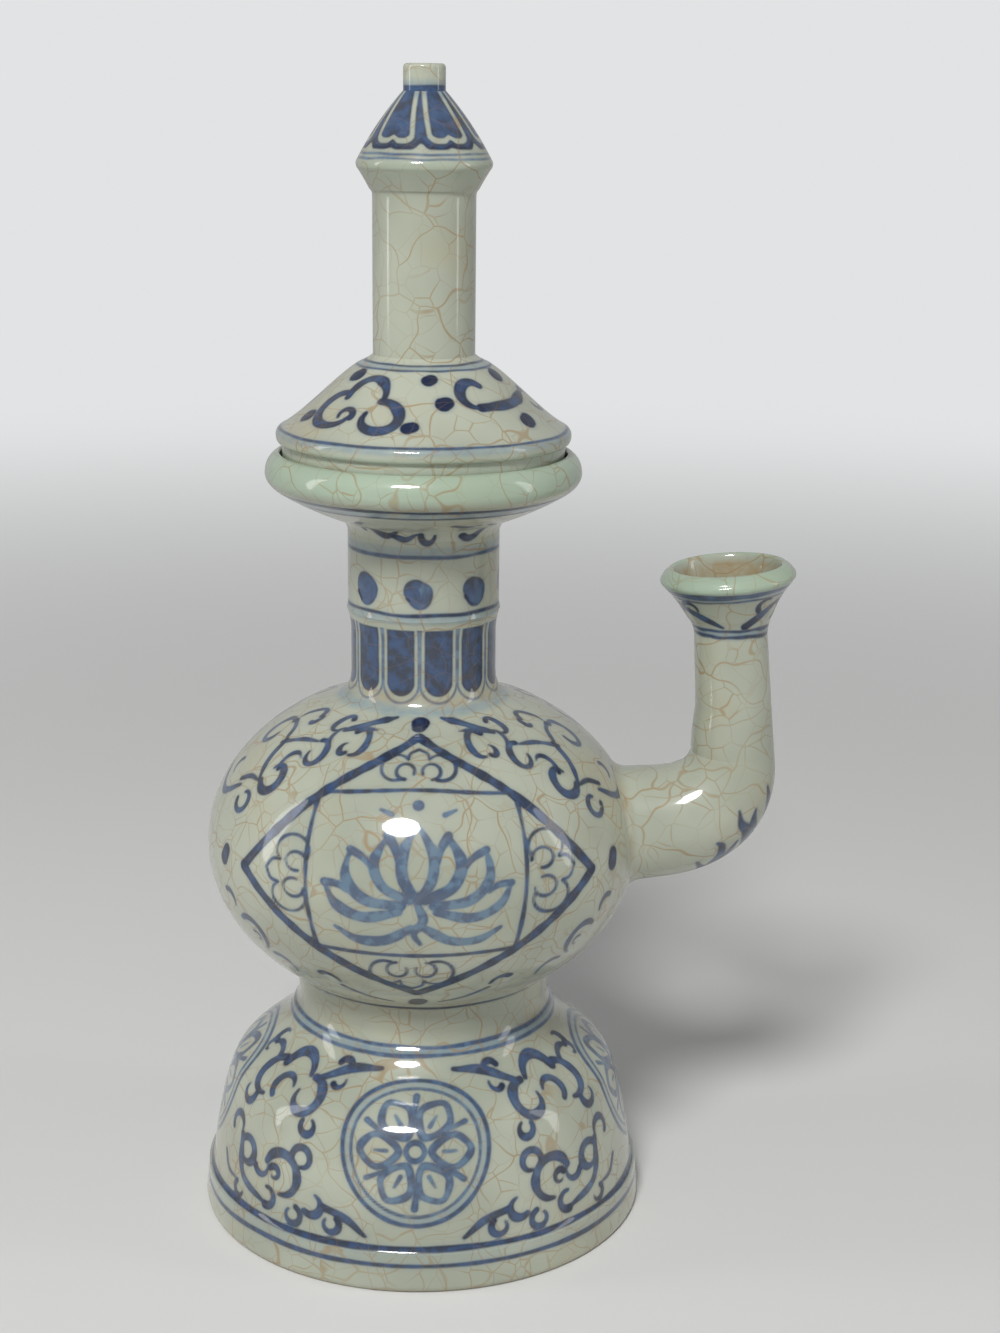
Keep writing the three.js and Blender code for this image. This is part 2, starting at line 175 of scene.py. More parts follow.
def makeGlaze(name):
    material = bpy.data.materials.new(name)
    material.use_nodes = True
    tree = material.node_tree
    shader = tree.nodes["Principled BSDF"]
    start = Wire(tree)

    # Object coordinates in millimetres
    place = start.node("ShaderNodeTexCoord", out=3)
    place = start.node("ShaderNodeVectorMath", {"operation": "SCALE"}, {"Vector": place, "Scale": 1000.0})

    def noise(size, detail=2.0, shift=0.0):
        away = (shift, shift * 2, -shift)
        moved = start.node("ShaderNodeVectorMath", {"operation": "ADD"}, {0: place, 1: away})
        return start.node("ShaderNodeTexNoise", {}, {"Vector": moved, "Scale": 1 / size, "Detail": detail})

    def own(attribute):
        return start.node("ShaderNodeAttribute", {"attribute_name": attribute}, out=2)

    # Body colour: a grey white with clouds, greener where the glaze pools
    clouds = noise(34, 3)
    fine = noise(5, 3, 40)
    colour = clouds.rise(0.36, 0.64).mixed(glaze["shade"], glaze["white"])
    colour = (noise(22, 2, 90).rise(0.5, 0.75) * 0.5).mixed(colour, glaze["warm"])
    colour = own("celadon").atMost(1).mixed(colour, glaze["celadon"])

    # Crackle: bent cell walls at two sizes, each stretch of its own strength
    warp = start.node("ShaderNodeTexNoise", {}, {"Vector": place, "Scale": 0.1, "Detail": 1.0}, out=1)
    warp = start.node("ShaderNodeVectorMath", {"operation": "SUBTRACT"}, {0: warp, 1: (0.5, 0.5, 0.5)})

    def cracks(size, width, bend):
        bent = start.node("ShaderNodeVectorMath", {"operation": "SCALE"}, {"Vector": warp, "Scale": bend})
        bent = start.node("ShaderNodeVectorMath", {"operation": "ADD"}, {0: place, 1: bent})
        wall = start.node("ShaderNodeTexVoronoi", {"feature": "DISTANCE_TO_EDGE"},
                          {"Vector": bent, "Scale": 1 / size})
        return 1 - wall.rise(width * 0.25 / size, width * 1.3 / size)

    patchy = noise(16, 2, 15).rise(0.36, 0.62)
    sparse = noise(9, 2, 70).rise(0.42, 0.6)
    cell = glaze["crackleSize"]
    big = cracks(cell * 2.1, glaze["crackleWidth"] * 1.35, 8) * (0.5 + 0.5 * patchy)
    small = cracks(cell, glaze["crackleWidth"], 5) * (0.22 + 0.6 * sparse)
    crackle = big.atLeast(small)

    # Painting: depth inside a brush stroke in millimetres, and how much cobalt it carries
    ripple = (fine - 0.5) * 0.3
    mottle = noise(2.6, 3, 25).rise(0.35, 0.68)
    wash = own("wash") * (0.7 + 0.3 * mottle)
    colour = wash.mixed(colour, glaze["wash"])
    depth = own("ink") + ripple
    tone = own("tone")
    painted = depth.rise(-0.26, 0.3)
    rim = 1 - depth.rise(0.1, 0.75)
    strength = tone + 0.2 * rim * tone + 0.42 * (mottle - 0.5)
    cobalt = strength.rise(0.22, 0.62).mixed(glaze["cobaltThin"], glaze["cobalt"])
    cobalt = strength.rise(0.55, 1.0).mixed(cobalt, glaze["cobaltDark"])
    halo = depth.rise(-1.2, 0.0) * 0.16 * tone
    colour = halo.mixed(colour, glaze["cobaltThin"])
    colour = (painted * (0.62 + 0.36 * tone).atMost(1)).mixed(colour, cobalt)

    stain = own("stain")
    colour = (stain * (0.3 + 0.7 * noise(4, 3, 60).rise(0.35, 0.65))).mixed(colour, glaze["stain"])
    colour = (crackle * 0.62 * (1 - painted * 0.75)).mixed(colour, glaze["crackle"])
    bare = own("bare")
    colour = bare.mixed(colour, glaze["clay"])

    tree.links.new(colour.socket, shader.inputs["Base Color"])
    rough = 0.32 + 0.3 * bare + 0.06 * clouds
    tree.links.new(rough.socket, shader.inputs["Roughness"])
    coat = (1 - bare) * 0.9
    tree.links.new(coat.socket, shader.inputs["Coat Weight"])
    shader.inputs["Specular IOR Level"].default_value = 0.15
    shader.inputs["Coat Roughness"].default_value = 0.06
    shader.inputs["Coat IOR"].default_value = 1.5

    height = noise(7, 2, 33) * 0.8 + fine * 0.12 - crackle * 0.05
    bump = start.node("ShaderNodeBump", {}, {"Height": height, "Strength": 0.12, "Distance": 0.001})
    tree.links.new(bump.socket, shader.inputs["Normal"])
    return material


finishes = {name: makeGlaze(name) for name in ("painted_glaze", "plain_glaze", "celadon_glaze")}
print("glazes mixed")


class Outline:
    # Rings of a thrown piece, from a line drawn in (radius, height), or along a bent tube
    def __init__(self, radius, height, spacing=0.5):
        self.marks = {}
        self.painted = False
        self.rows = [self.row(radius, height)]
        self.spacing = spacing
        self.skin = None

    def row(self, radius, height):
        return dict(self.marks, radius=radius, height=height, painted=self.painted)

    def fine(self, spacing):
        self.spacing = spacing
        self.painted = spacing < 1
        self.rows[-1]["painted"] = self.rows[-1]["painted"] or self.painted
        return self

    def mark(self, **marks):
        self.marks = marks
        return self

    def sweep(self, at, length):
        steps = max(1, ceil(length / self.spacing))
        for i in range(1, steps + 1):
            self.rows.append(self.row(*at(i / steps)))
        return self

    def last(self):
        return self.rows[-1]["radius"], self.rows[-1]["height"]

    def line(self, radius, height):
        r, h = self.last()
        across, up = radius - r, height - h
        return self.sweep(lambda t: (r + across * t, h + up * t), hypot(across, up))

    def curve(self, midRadius, midHeight, radius, height):
        r, h = self.last()

        def at(t):
            return tuple((1 - t) ** 2 * a + 2 * t * (1 - t) * b + t * t * c
                         for a, b, c in ((r, midRadius, radius), (h, midHeight, height)))
        length = hypot(midRadius - r, midHeight - h) + hypot(radius - midRadius, height - midHeight)
        return self.sweep(at, length)

    def bend(self, r1, h1, r2, h2, radius, height):
        r, h = self.last()

        def at(t):
            s = 1 - t
            return tuple(s ** 3 * a + 3 * t * s * s * b + 3 * t * t * s * c + t ** 3 * d
                         for a, b, c, d in ((r, r1, r2, radius), (h, h1, h2, height)))
        length = hypot(r1 - r, h1 - h) + hypot(r2 - r1, h2 - h1) + hypot(radius - r2, height - h2)
        return self.sweep(at, length)

    def globe(self, height, inset=0.0):
        # along the two half ellipses of the globe, in equal turns
        start = globeAngle(self.last()[1], inset)
        end = globeAngle(height, inset)

        def at(t):
            angle = start + (end - start) * t
            half = (globe["lowerHalf"] if angle < 0 else globe["upperHalf"]) - inset
            return (globeRadius - inset) * cos(angle), equator + half * sin(angle)
        return self.sweep(at, abs(end - start) * globeRadius)


# Seams of the sections, from the frame
waistBottom = bottomOf("waist_collar")
globeBottom = bottomOf("lower_bowl")
bowlSeam = bottomOf("upper_bowl")
neckBottom = bottomOf("lower_neck")
ridge = bottomOf("upper_neck")
dishBottom = bottomOf("dish_mouth")
dishTop = topOf("dish_mouth")
ledge = bottomOf("cover_ring")
domeBottom = bottomOf("cover_dome")
tubeBottom = bottomOf("cover_tube")
capBottom = bottomOf("cover_cap")
nozzleBottom = bottomOf("cover_nozzle")
nozzleTop = topOf("cover_nozzle")
footRadius = radiusOf("bell_foot")
globeRadius = radiusOf("upper_bowl")
dishRadius = radiusOf("dish_mouth")
domeRadius = radiusOf("cover_dome")
ringRadius = radiusOf("cover_ring")

globe = {
    "lowerHalf": 37.2,
    "upperHalf": 36.8,
    "equatorRise": 31.1,
    "wall": 4,
    "floor": 4.5,
    "fillet": 3.5,
    "filletPull": 1.6,
    "shoulder": 3.4,
    "sides": 470,
}
equator = globeBottom + globe["equatorRise"]


def globeAngle(height, inset=0.0):
    half = (globe["lowerHalf"] if height < equator else globe["upperHalf"]) - inset
    return asin((height - equator) / half)


def globeAt(height, inset=0.0):
    return (globeRadius - inset) * cos(globeAngle(height, inset))


def globeTopAt(radius, inset):
    return equator + (globe["upperHalf"] - inset) * sqrt(1 - (radius / (globeRadius - inset)) ** 2)


coarse = 2.4                     # ring spacing where nothing is painted
close = 0.46                     # and where it is
edge = 0.8                       # round lips and rims

foot = {
    "stepIn": 2,
    "bandHeight": 8.7,
    "bellTaper": 6.9,
    "shoulderDrop": 14.6,
    "seatRound": 1.4,
    "seatWidth": 4.6,
    "wall": 5,
    "sides": 620,
}
waist = {
    "radius": 28.8,
    "flare": 1.4,
    "wall": 4,
    "sides": 400,
}


def footOutline():
    stepRadius = footRadius - foot["stepIn"]
    seat = footRadius - foot["seatRound"] - foot["seatWidth"]
    shoulder, shoulderHeight = footRadius - foot["bellTaper"], waistBottom - foot["shoulderDrop"]
    band, top, wall = foot["bandHeight"], waist["radius"] + waist["flare"], foot["wall"]
    bore = top - waist["wall"]
    o = Outline(bore, waistBottom, coarse)
    o.bend(bore + 1.4, waistBottom - 8.4, shoulder - wall - 3.6, shoulderHeight + 4,
           shoulder - wall, shoulderHeight - 3)
    o.line(seat, 8).line(seat, 2.2).mark(bare=1).line(seat, 1).curve(seat, 0, seat + 1, 0)
    o.line(footRadius - foot["seatRound"], 0).mark().fine(close)
    o.curve(footRadius, 0, footRadius, foot["seatRound"]).line(footRadius - 0.7, band)
    o.curve(stepRadius + 0.4, band + 0.4, stepRadius, band + 2)
    o.bend(stepRadius - 0.9, shoulderHeight - 13, shoulder + 1.9, shoulderHeight - 4.3,
           shoulder, shoulderHeight)
    o.bend(shoulder - 2.4, shoulderHeight + 5.4, top + 2.2, waistBottom - 6, top, waistBottom)
    return o.fine(coarse).line(bore, waistBottom)


def waistOutline():
    radius, bore, flare = waist["radius"], waist["radius"] - waist["wall"], waist["flare"]
    middle = waistBottom + (globeBottom - waistBottom) * 0.4
    o = Outline(bore, globeBottom, coarse)
    o.line(bore, middle).curve(bore, waistBottom + 2, bore + flare, waistBottom)
    o.line(radius + flare, waistBottom).fine(close).curve(radius, waistBottom + 1.6, radius, middle)
    o.line(radius + 0.2, globeBottom)
    return o.fine(coarse).line(bore, globeBottom)


def lowerBowlOutline():
    filletTop, floorTop = globeBottom + globe["fillet"], globeBottom + globe["floor"]
    filletRadius, wall, pull = globeAt(filletTop), globe["wall"], globe["filletPull"]
    slope = (globeRadius / globe["lowerHalf"]) ** 2 * (equator - filletTop) / filletRadius
    o = Outline(globeAt(bowlSeam, wall), bowlSeam, coarse).globe(floorTop, wall).line(0, floorTop)
    o.rows.append(o.row(0, globeBottom))
    o.line(waist["radius"] + 0.2, globeBottom).fine(close)
    o.curve(filletRadius - slope * pull, filletTop - pull, filletRadius, filletTop).globe(bowlSeam)
    return o.fine(coarse).line(globeAt(bowlSeam, wall), bowlSeam)


neck = {
    "radius": 16.2,
    "rootFlare": 2.3,
    "ridgeProud": 0.9,
    "upperProud": 0.6,
    "wall": 3,
    "spacing": 0.36,             # between its painted rings
    "sides": 400,
}


def upperBowlOutline():
    wall, bore, root = globe["wall"], neck["radius"] - neck["wall"], neck["radius"] + neck["rootFlare"]
    o = Outline(bore, neckBottom, coarse).line(bore, globeTopAt(bore, wall)).globe(bowlSeam, wall)
    o.line(globeAt(bowlSeam), bowlSeam).fine(close).globe(neckBottom - globe["shoulder"])
    o.curve(root + 0.9, neckBottom - 1.2, root, neckBottom)
    return o.fine(coarse).line(bore, neckBottom)


def lowerNeckOutline():
    radius, bore = neck["radius"], neck["radius"] - neck["wall"]
    o = Outline(bore, ridge, coarse).line(bore, neckBottom)
    o.line(radius + neck["rootFlare"], neckBottom).fine(neck["spacing"])
    o.curve(radius, neckBottom + 1.2, radius, neckBottom + 6).line(radius, ridge - 4.6)
    o.curve(radius + 0.2, ridge - 2, radius + neck["ridgeProud"], ridge)
    return o.fine(coarse).line(bore, ridge)


def upperNeckOutline():
    radius, bore = neck["radius"] + neck["upperProud"], neck["radius"] - neck["wall"]
    o = Outline(bore, dishBottom, coarse).line(bore, ridge).line(neck["radius"] + neck["ridgeProud"], ridge)
    o.fine(neck["spacing"]).curve(radius, ridge + 0.9, radius, ridge + 2.4).line(radius, dishBottom)
    return o.fine(coarse).line(bore, dishBottom)


dish = {
    "lipDrop": 4.6,
    "wall": 3.4,
    "ledgeWidth": 3.4,
    "clearance": 0.4,
    "sides": 480,
}


def dishOutline():
    inner, bore = ringRadius + dish["clearance"], neck["radius"] - neck["wall"]
    lip, wall, radius = dishTop - dish["lipDrop"], dish["wall"], neck["radius"] + neck["upperProud"]
    ledgeInner = inner - dish["ledgeWidth"]
    o = Outline(bore, dishBottom, coarse).line(radius, dishBottom).fine(close)
    o.curve(radius + 0.3, dishBottom + 1.6, radius + 1.8, dishBottom + 2.6)
    o.curve(dishRadius - 9, lip - 7.3, dishRadius - 3.2, lip - 3.8)
    o.curve(dishRadius - 0.2, lip - 2.2, dishRadius, lip)
    o.curve(dishRadius, dishTop - 1.9, dishRadius - 1.8, dishTop - 0.5)
    o.curve(dishRadius - 2.4, dishTop, dishRadius - 2.8, dishTop)
    o.line(inner + 0.3, dishTop).line(inner, dishTop - 0.4)
    o.fine(coarse).mark(celadon=0.4).line(inner, ledge + 0.6)
    o.mark(bare=1).line(inner, ledge).line(ledgeInner, ledge)
    o.mark().curve(bore + 3.4, dishBottom + wall + 2.6, bore, dishBottom + wall - 1.6)
    return o.line(bore, dishBottom)


cover = {
    "rimRise": 1.7,
    "wall": 3.2,
    "ringWall": 3.2,
    "tubeRadius": 11.1,
    "tubeWall": 3.7,
    "sides": 480,
}


def ringOutline():
    wall = cover["ringWall"]
    o = Outline(ringRadius - wall, domeBottom, coarse).mark(bare=1).line(ringRadius - wall, ledge)
    o.line(ringRadius - 0.4, ledge).fine(edge).line(ringRadius, ledge + 0.4)
    o.mark(celadon=0.3).line(ringRadius, domeBottom)
    return o.fine(coarse).line(ringRadius - wall, domeBottom)


def domeOutline():
    rim, tube = domeBottom + cover["rimRise"], cover["tubeRadius"]
    bore = tube - cover["tubeWall"]
    boreTop, inner = tubeBottom - cover["wall"] - 1.2, ringRadius - cover["ringWall"]
    o = Outline(bore, tubeBottom, coarse).line(bore, boreTop)
    o.bend(bore + 6.5, boreTop - 1.2, inner - 3.6, rim + 3.6, inner, domeBottom)
    o.line(domeRadius - 0.9, domeBottom).fine(close)
    o.curve(domeRadius, domeBottom + 0.2, domeRadius, rim)
    o.curve(domeRadius, rim + 1.3, domeRadius - 1.3, rim + 1.8)
    o.bend(domeRadius - 6.9, rim + 5.2, tube + 8, tubeBottom - 4.9, tube + 3.1, tubeBottom - 1.9)
    o.curve(tube + 0.5, tubeBottom - 0.8, tube, tubeBottom)
    return o.fine(coarse).line(bore, tubeBottom)


def tubeOutline():
    tube = cover["tubeRadius"]
    bore = tube - cover["tubeWall"]
    o = Outline(bore, capBottom, coarse).line(bore, tubeBottom).line(tube, tubeBottom).fine(edge)
    o.line(tube, capBottom - 1.4).fine(close).curve(tube, capBottom - 0.4, tube + 0.6, capBottom)
    return o.fine(coarse).line(bore, capBottom)


cap = {
    "overhang": 3.7,
    "flangeRise": 5.4,
    "nozzleRadius": 4.5,
    "nozzleBore": 1.5,
    "sides": 320,
}


def capOutline():
    flange, nozzle = capBottom + cap["flangeRise"], cap["nozzleRadius"]
    radius = cover["tubeRadius"] + cap["overhang"]
    bore, hole = cover["tubeRadius"] - cover["tubeWall"], cap["nozzleBore"]
    o = Outline(bore, flange, coarse).line(bore, capBottom)
    o.line(cover["tubeRadius"] + 0.6, capBottom).fine(0.3)
    o.curve(radius - 1.6, flange - 2.6, radius - 0.4, flange - 0.9)
    o.curve(radius, flange, radius - 0.5, flange + 0.8)
    o.curve(nozzle + 5.9, nozzleBottom - 6.6, nozzle, nozzleBottom)
    return o.fine(coarse).line(hole, nozzleBottom).line(hole, nozzleBottom - 2).line(bore, flange)


def nozzleOutline():
    radius, hole = cap["nozzleRadius"], cap["nozzleBore"]
    o = Outline(hole, nozzleBottom, 1).line(radius, nozzleBottom).fine(0.25)
    o.line(radius, nozzleTop - 1).curve(radius, nozzleTop, radius - 1, nozzleTop)
    o.line(hole + 0.5, nozzleTop).curve(hole, nozzleTop, hole, nozzleTop - 0.5)
    return o.mark(stain=0.8).fine(1).line(hole, nozzleBottom)


# Spout: an arm that leaves the globe, a full elbow, an upright and a tilted cup
spout = {
    "jointHeight": globeBottom + 34.9,
    "armRadius": 13.2,
    "elbowStart": globeRadius + 5,
    "elbowRadius": 12.8,
    "riserX": 70.8,
    "elbowTop": bottomOf("spout_riser"),
    "riserRadius": 8.9,
    "topRadius": 8.2,
    "lean": 2,
    "riserHeight": 27.4,
    "wall": 3,
    "holeRadius": 9.2,
    "fillet": 2.4,
    "web": 0.55,                 # how much the inner side of the bend is filled
    "cupRadius": 15.1,
    "cupHeight": 15.8,
    "cupTilt": radians(4.8),
    "cupWall": 2.6,
    "sides": 240,
}


class Tube(Outline):
    # A run of rings along a bent centre line. lean tips a ring's axis towards -X.
    def __init__(self):
        self.rows = []
        self.marks = {}
        self.painted = False
        self.skin = None

    def ring(self, x, height, radius, lean):
        self.rows.append(dict(self.marks, x=x, height=height, radius=radius, lean=lean, painted=self.painted))


def onElbow(t):
    # centre and lean of the elbow's ring at t
    p0 = (spout["elbowStart"], spout["jointHeight"] + 0.3)
    p1 = (spout["riserX"] - 0.3, spout["jointHeight"] + 2.2)
    p2 = (spout["riserX"], spout["elbowTop"])
    x, z = ((1 - t) ** 2 * a + 2 * t * (1 - t) * b + t * t * c for a, b, c in zip(p0, p1, p2))
    dx, dz = (2 * (1 - t) * (b - a) + 2 * t * (c - b) for a, b, c in zip(p0, p1, p2))
    lean = 0 if t == 1 else asin(max(-1, min(1, -dx / hypot(dx, dz))))
    return x, z, lean


def webAt(t):
    # t runs from 0 to 1 along the elbow, and on to 2 up the riser's first part
    return spout["web"] * max(0.0, sin(pi * (t - 0.25) / 1.5)) if 0.25 < t < 1.75 else 0.0


def armRings():
    # Every ring of the arm as points for all its turns,
    # from the globe's skin to the elbow's top and back inside
    turns = np.arange(spout["sides"]) * 2 * pi / spout["sides"]
    startX, startZ = globeRadius - 14, spout["jointHeight"] - 1.6
    endX, endZ, endLean = onElbow(0)
    length = hypot(endX - startX, endZ - startZ)

    def straight(t, radius):
        lean = -pi / 2 + (endLean + pi / 2) * t
        across = radius * np.cos(turns)
        return np.stack([startX + (endX - startX) * t + across * np.cos(lean), radius * np.sin(turns),
                         startZ + (endZ - startZ) * t + across * np.sin(lean)], axis=-1)

    def armRadius(t):
        return spout["armRadius"] + 0.6 * (1 - t) - (spout["armRadius"] - spout["elbowRadius"]) * t

    def meet(radiusAt, inset):
        # where each line of the tube comes out of the globe
        low, high = np.zeros(len(turns)), np.ones(len(turns))
        for _ in range(40):
            middle = (low + high) / 2
            x, y, z = straight(middle, radiusAt(middle)).T
            half = np.where(z < equator, globe["lowerHalf"], globe["upperHalf"]) - inset
            outside = np.hypot(x, y) > (globeRadius - inset) * np.sqrt(1 - ((z - equator) / half) ** 2)
            low, high = np.where(outside, low, middle), np.where(outside, middle, high)
        return high

    def hole(t):
        return spout["holeRadius"]

    reach = spout["fillet"]
    joint = meet(armRadius, 0)
    holeStart = meet(hole, 0.4)
    skirtStart = meet(lambda t: armRadius(t) + reach, 0.1)
    skirt = straight(skirtStart, armRadius(skirtStart) + reach)
    corner = straight(joint, armRadius(joint))
    armStart = joint + reach / length
    out = straight(armStart, armRadius(armStart))
    rings = [straight(holeStart, hole(0))]
    for i in range(9):
        t = i / 8
        rings.append((1 - t) ** 2 * skirt + 2 * t * (1 - t) * corner + t * t * out)
    for i in range(1, 29):
        t = armStart + (1 - armStart) * i / 28
        rings.append(straight(t, armRadius(t)))
    shrink = spout["elbowRadius"] - spout["riserRadius"]
    inside = []
    for i in range(1, 71):
        t = i / 70
        x, z, lean = onElbow(t)
        radius = spout["elbowRadius"] - shrink * t * (0.23 + 0.77 * t)
        across = np.cos(turns)
        # the centre moves to the inner side by what the radius gains along the bend
        inward = webAt(t)
        wide = (radius + inward) * across - inward
        rings.append(np.stack([x + wide * cos(lean), radius * np.sin(turns), z + wide * sin(lean)], axis=-1))
        if i % 7 == 0:
            radius = spout["holeRadius"] + (spout["riserRadius"] - spout["wall"] - spout["holeRadius"]) * t
            inside.append(np.stack([x + radius * across * cos(lean), radius * np.sin(turns),
                                    z + radius * across * sin(lean)], axis=-1))
    painted = range(2, len(rings))
    rings += inside[::-1]
    rings.append(straight(np.ones(len(turns)), hole(0)))
    tube = Tube()
    for i, ring in enumerate(rings):
        x, y, z = ring.mean(axis=0)
        tube.painted = i in painted
        tube.ring(x, z, (ring[:, 1].max() - ring[:, 1].min()) / 2, 0)
    tube.points = np.array(rings)
    return tube


def riserRings():
    tube = Tube()
    x, z, height = spout["riserX"], spout["elbowTop"], spout["riserHeight"]
    low, high = spout["riserRadius"], spout["topRadius"]
    tube.ring(x, z, low - spout["wall"], 0)
    tube.painted = True
    steps = 50
    for i in range(steps + 1):
        t = i / steps
        tube.ring(x - spout["lean"] * t, z + height * t, low + (high - low) * t, 0)
        tube.rows[-1]["web"] = webAt(1 + t * height / 14)
    tube.painted = False
    for i in range(8, -1, -1):
        t = i / 8
        tube.ring(x - spout["lean"] * t, z + height * t, low + (high - low) * t - spout["wall"], 0)
    return tube


def cupRings():
    radius, height, tilt, wall = spout["cupRadius"], spout["cupHeight"], spout["cupTilt"], spout["cupWall"]
    bore, top = spout["topRadius"] - spout["wall"], spout["topRadius"]
    o = Outline(bore, 0, 1).line(top, 0).fine(0.3)
    o.curve(top + 0.1, 2.4, top + 1.5, 4.6).curve(radius - 3.4, height - 7, radius - 1.6, height - 5)
    o.curve(radius - 0.7, height - 4, radius - 0.15, height - 3.2)
    o.curve(radius + 0.2, height - 2.4, radius - 0.4, height - 1.8)
    o.curve(radius - 0.9, height - 0.9, radius - 1.6, height - 0.5)
    o.curve(radius - 2.1, height, radius - 2.6, height)
    o.curve(radius - wall - 0.6, height - 0.1, radius - wall - 0.9, height - 1.2).fine(1).mark(stain=0.55)
    o.curve(radius - wall - 1.6, height - 4, bore + 5.3, height - 6).mark(stain=0.7)
    o.curve(bore + 2.9, height - 8.4, bore + 1.9, 5.4).curve(bore + 0.4, 2.4, bore, 0)
    tube = Tube()
    baseX, baseZ = spout["riserX"] - spout["lean"], spout["elbowTop"] + spout["riserHeight"]
    for row in o.rows:
        up = row["height"]
        row["lean"] = min(1, max(0, up) / (height * 0.4)) * tilt
        row["x"] = baseX - up * sin(tilt)
        row["height"] = baseZ + up * cos(tilt)
        tube.rows.append(row)
    return tube


def wander(seed, size):
    # A slow uneven wave round the pot, the same each time
    chance = np.random.default_rng(seed)
    waves = [(n, chance.uniform(0, 2 * pi), chance.uniform(0.3, 1) / sqrt(n)) for n in range(2, 14)]
    return lambda azimuth: size * sum(w * np.sin(np.radians(azimuth) * n + phase) for n, phase, w in waves)


def smoothed(points, closed=False, step=0.7):
    # A curve through given points; a third number, a width, goes along
    points = np.array(points, float)
    if closed:
        around = np.vstack([points[-1:], points, points[:2]])
    else:
        around = np.vstack([2 * points[0] - points[1], points, 2 * points[-1] - points[-2]])
    path = []
    for a, b, c, d in zip(around, around[1:], around[2:], around[3:]):
        steps = max(1, ceil(hypot(*(c - b)[:2]) / step))
        for t in np.arange(steps) / steps:
            path.append(0.5 * (2 * b + (c - a) * t + (2 * a - 5 * b + 4 * c - d) * t ** 2
                               + (3 * b - a - 3 * c + d) * t ** 3))
    path.append(around[-2])
    return np.array(path)


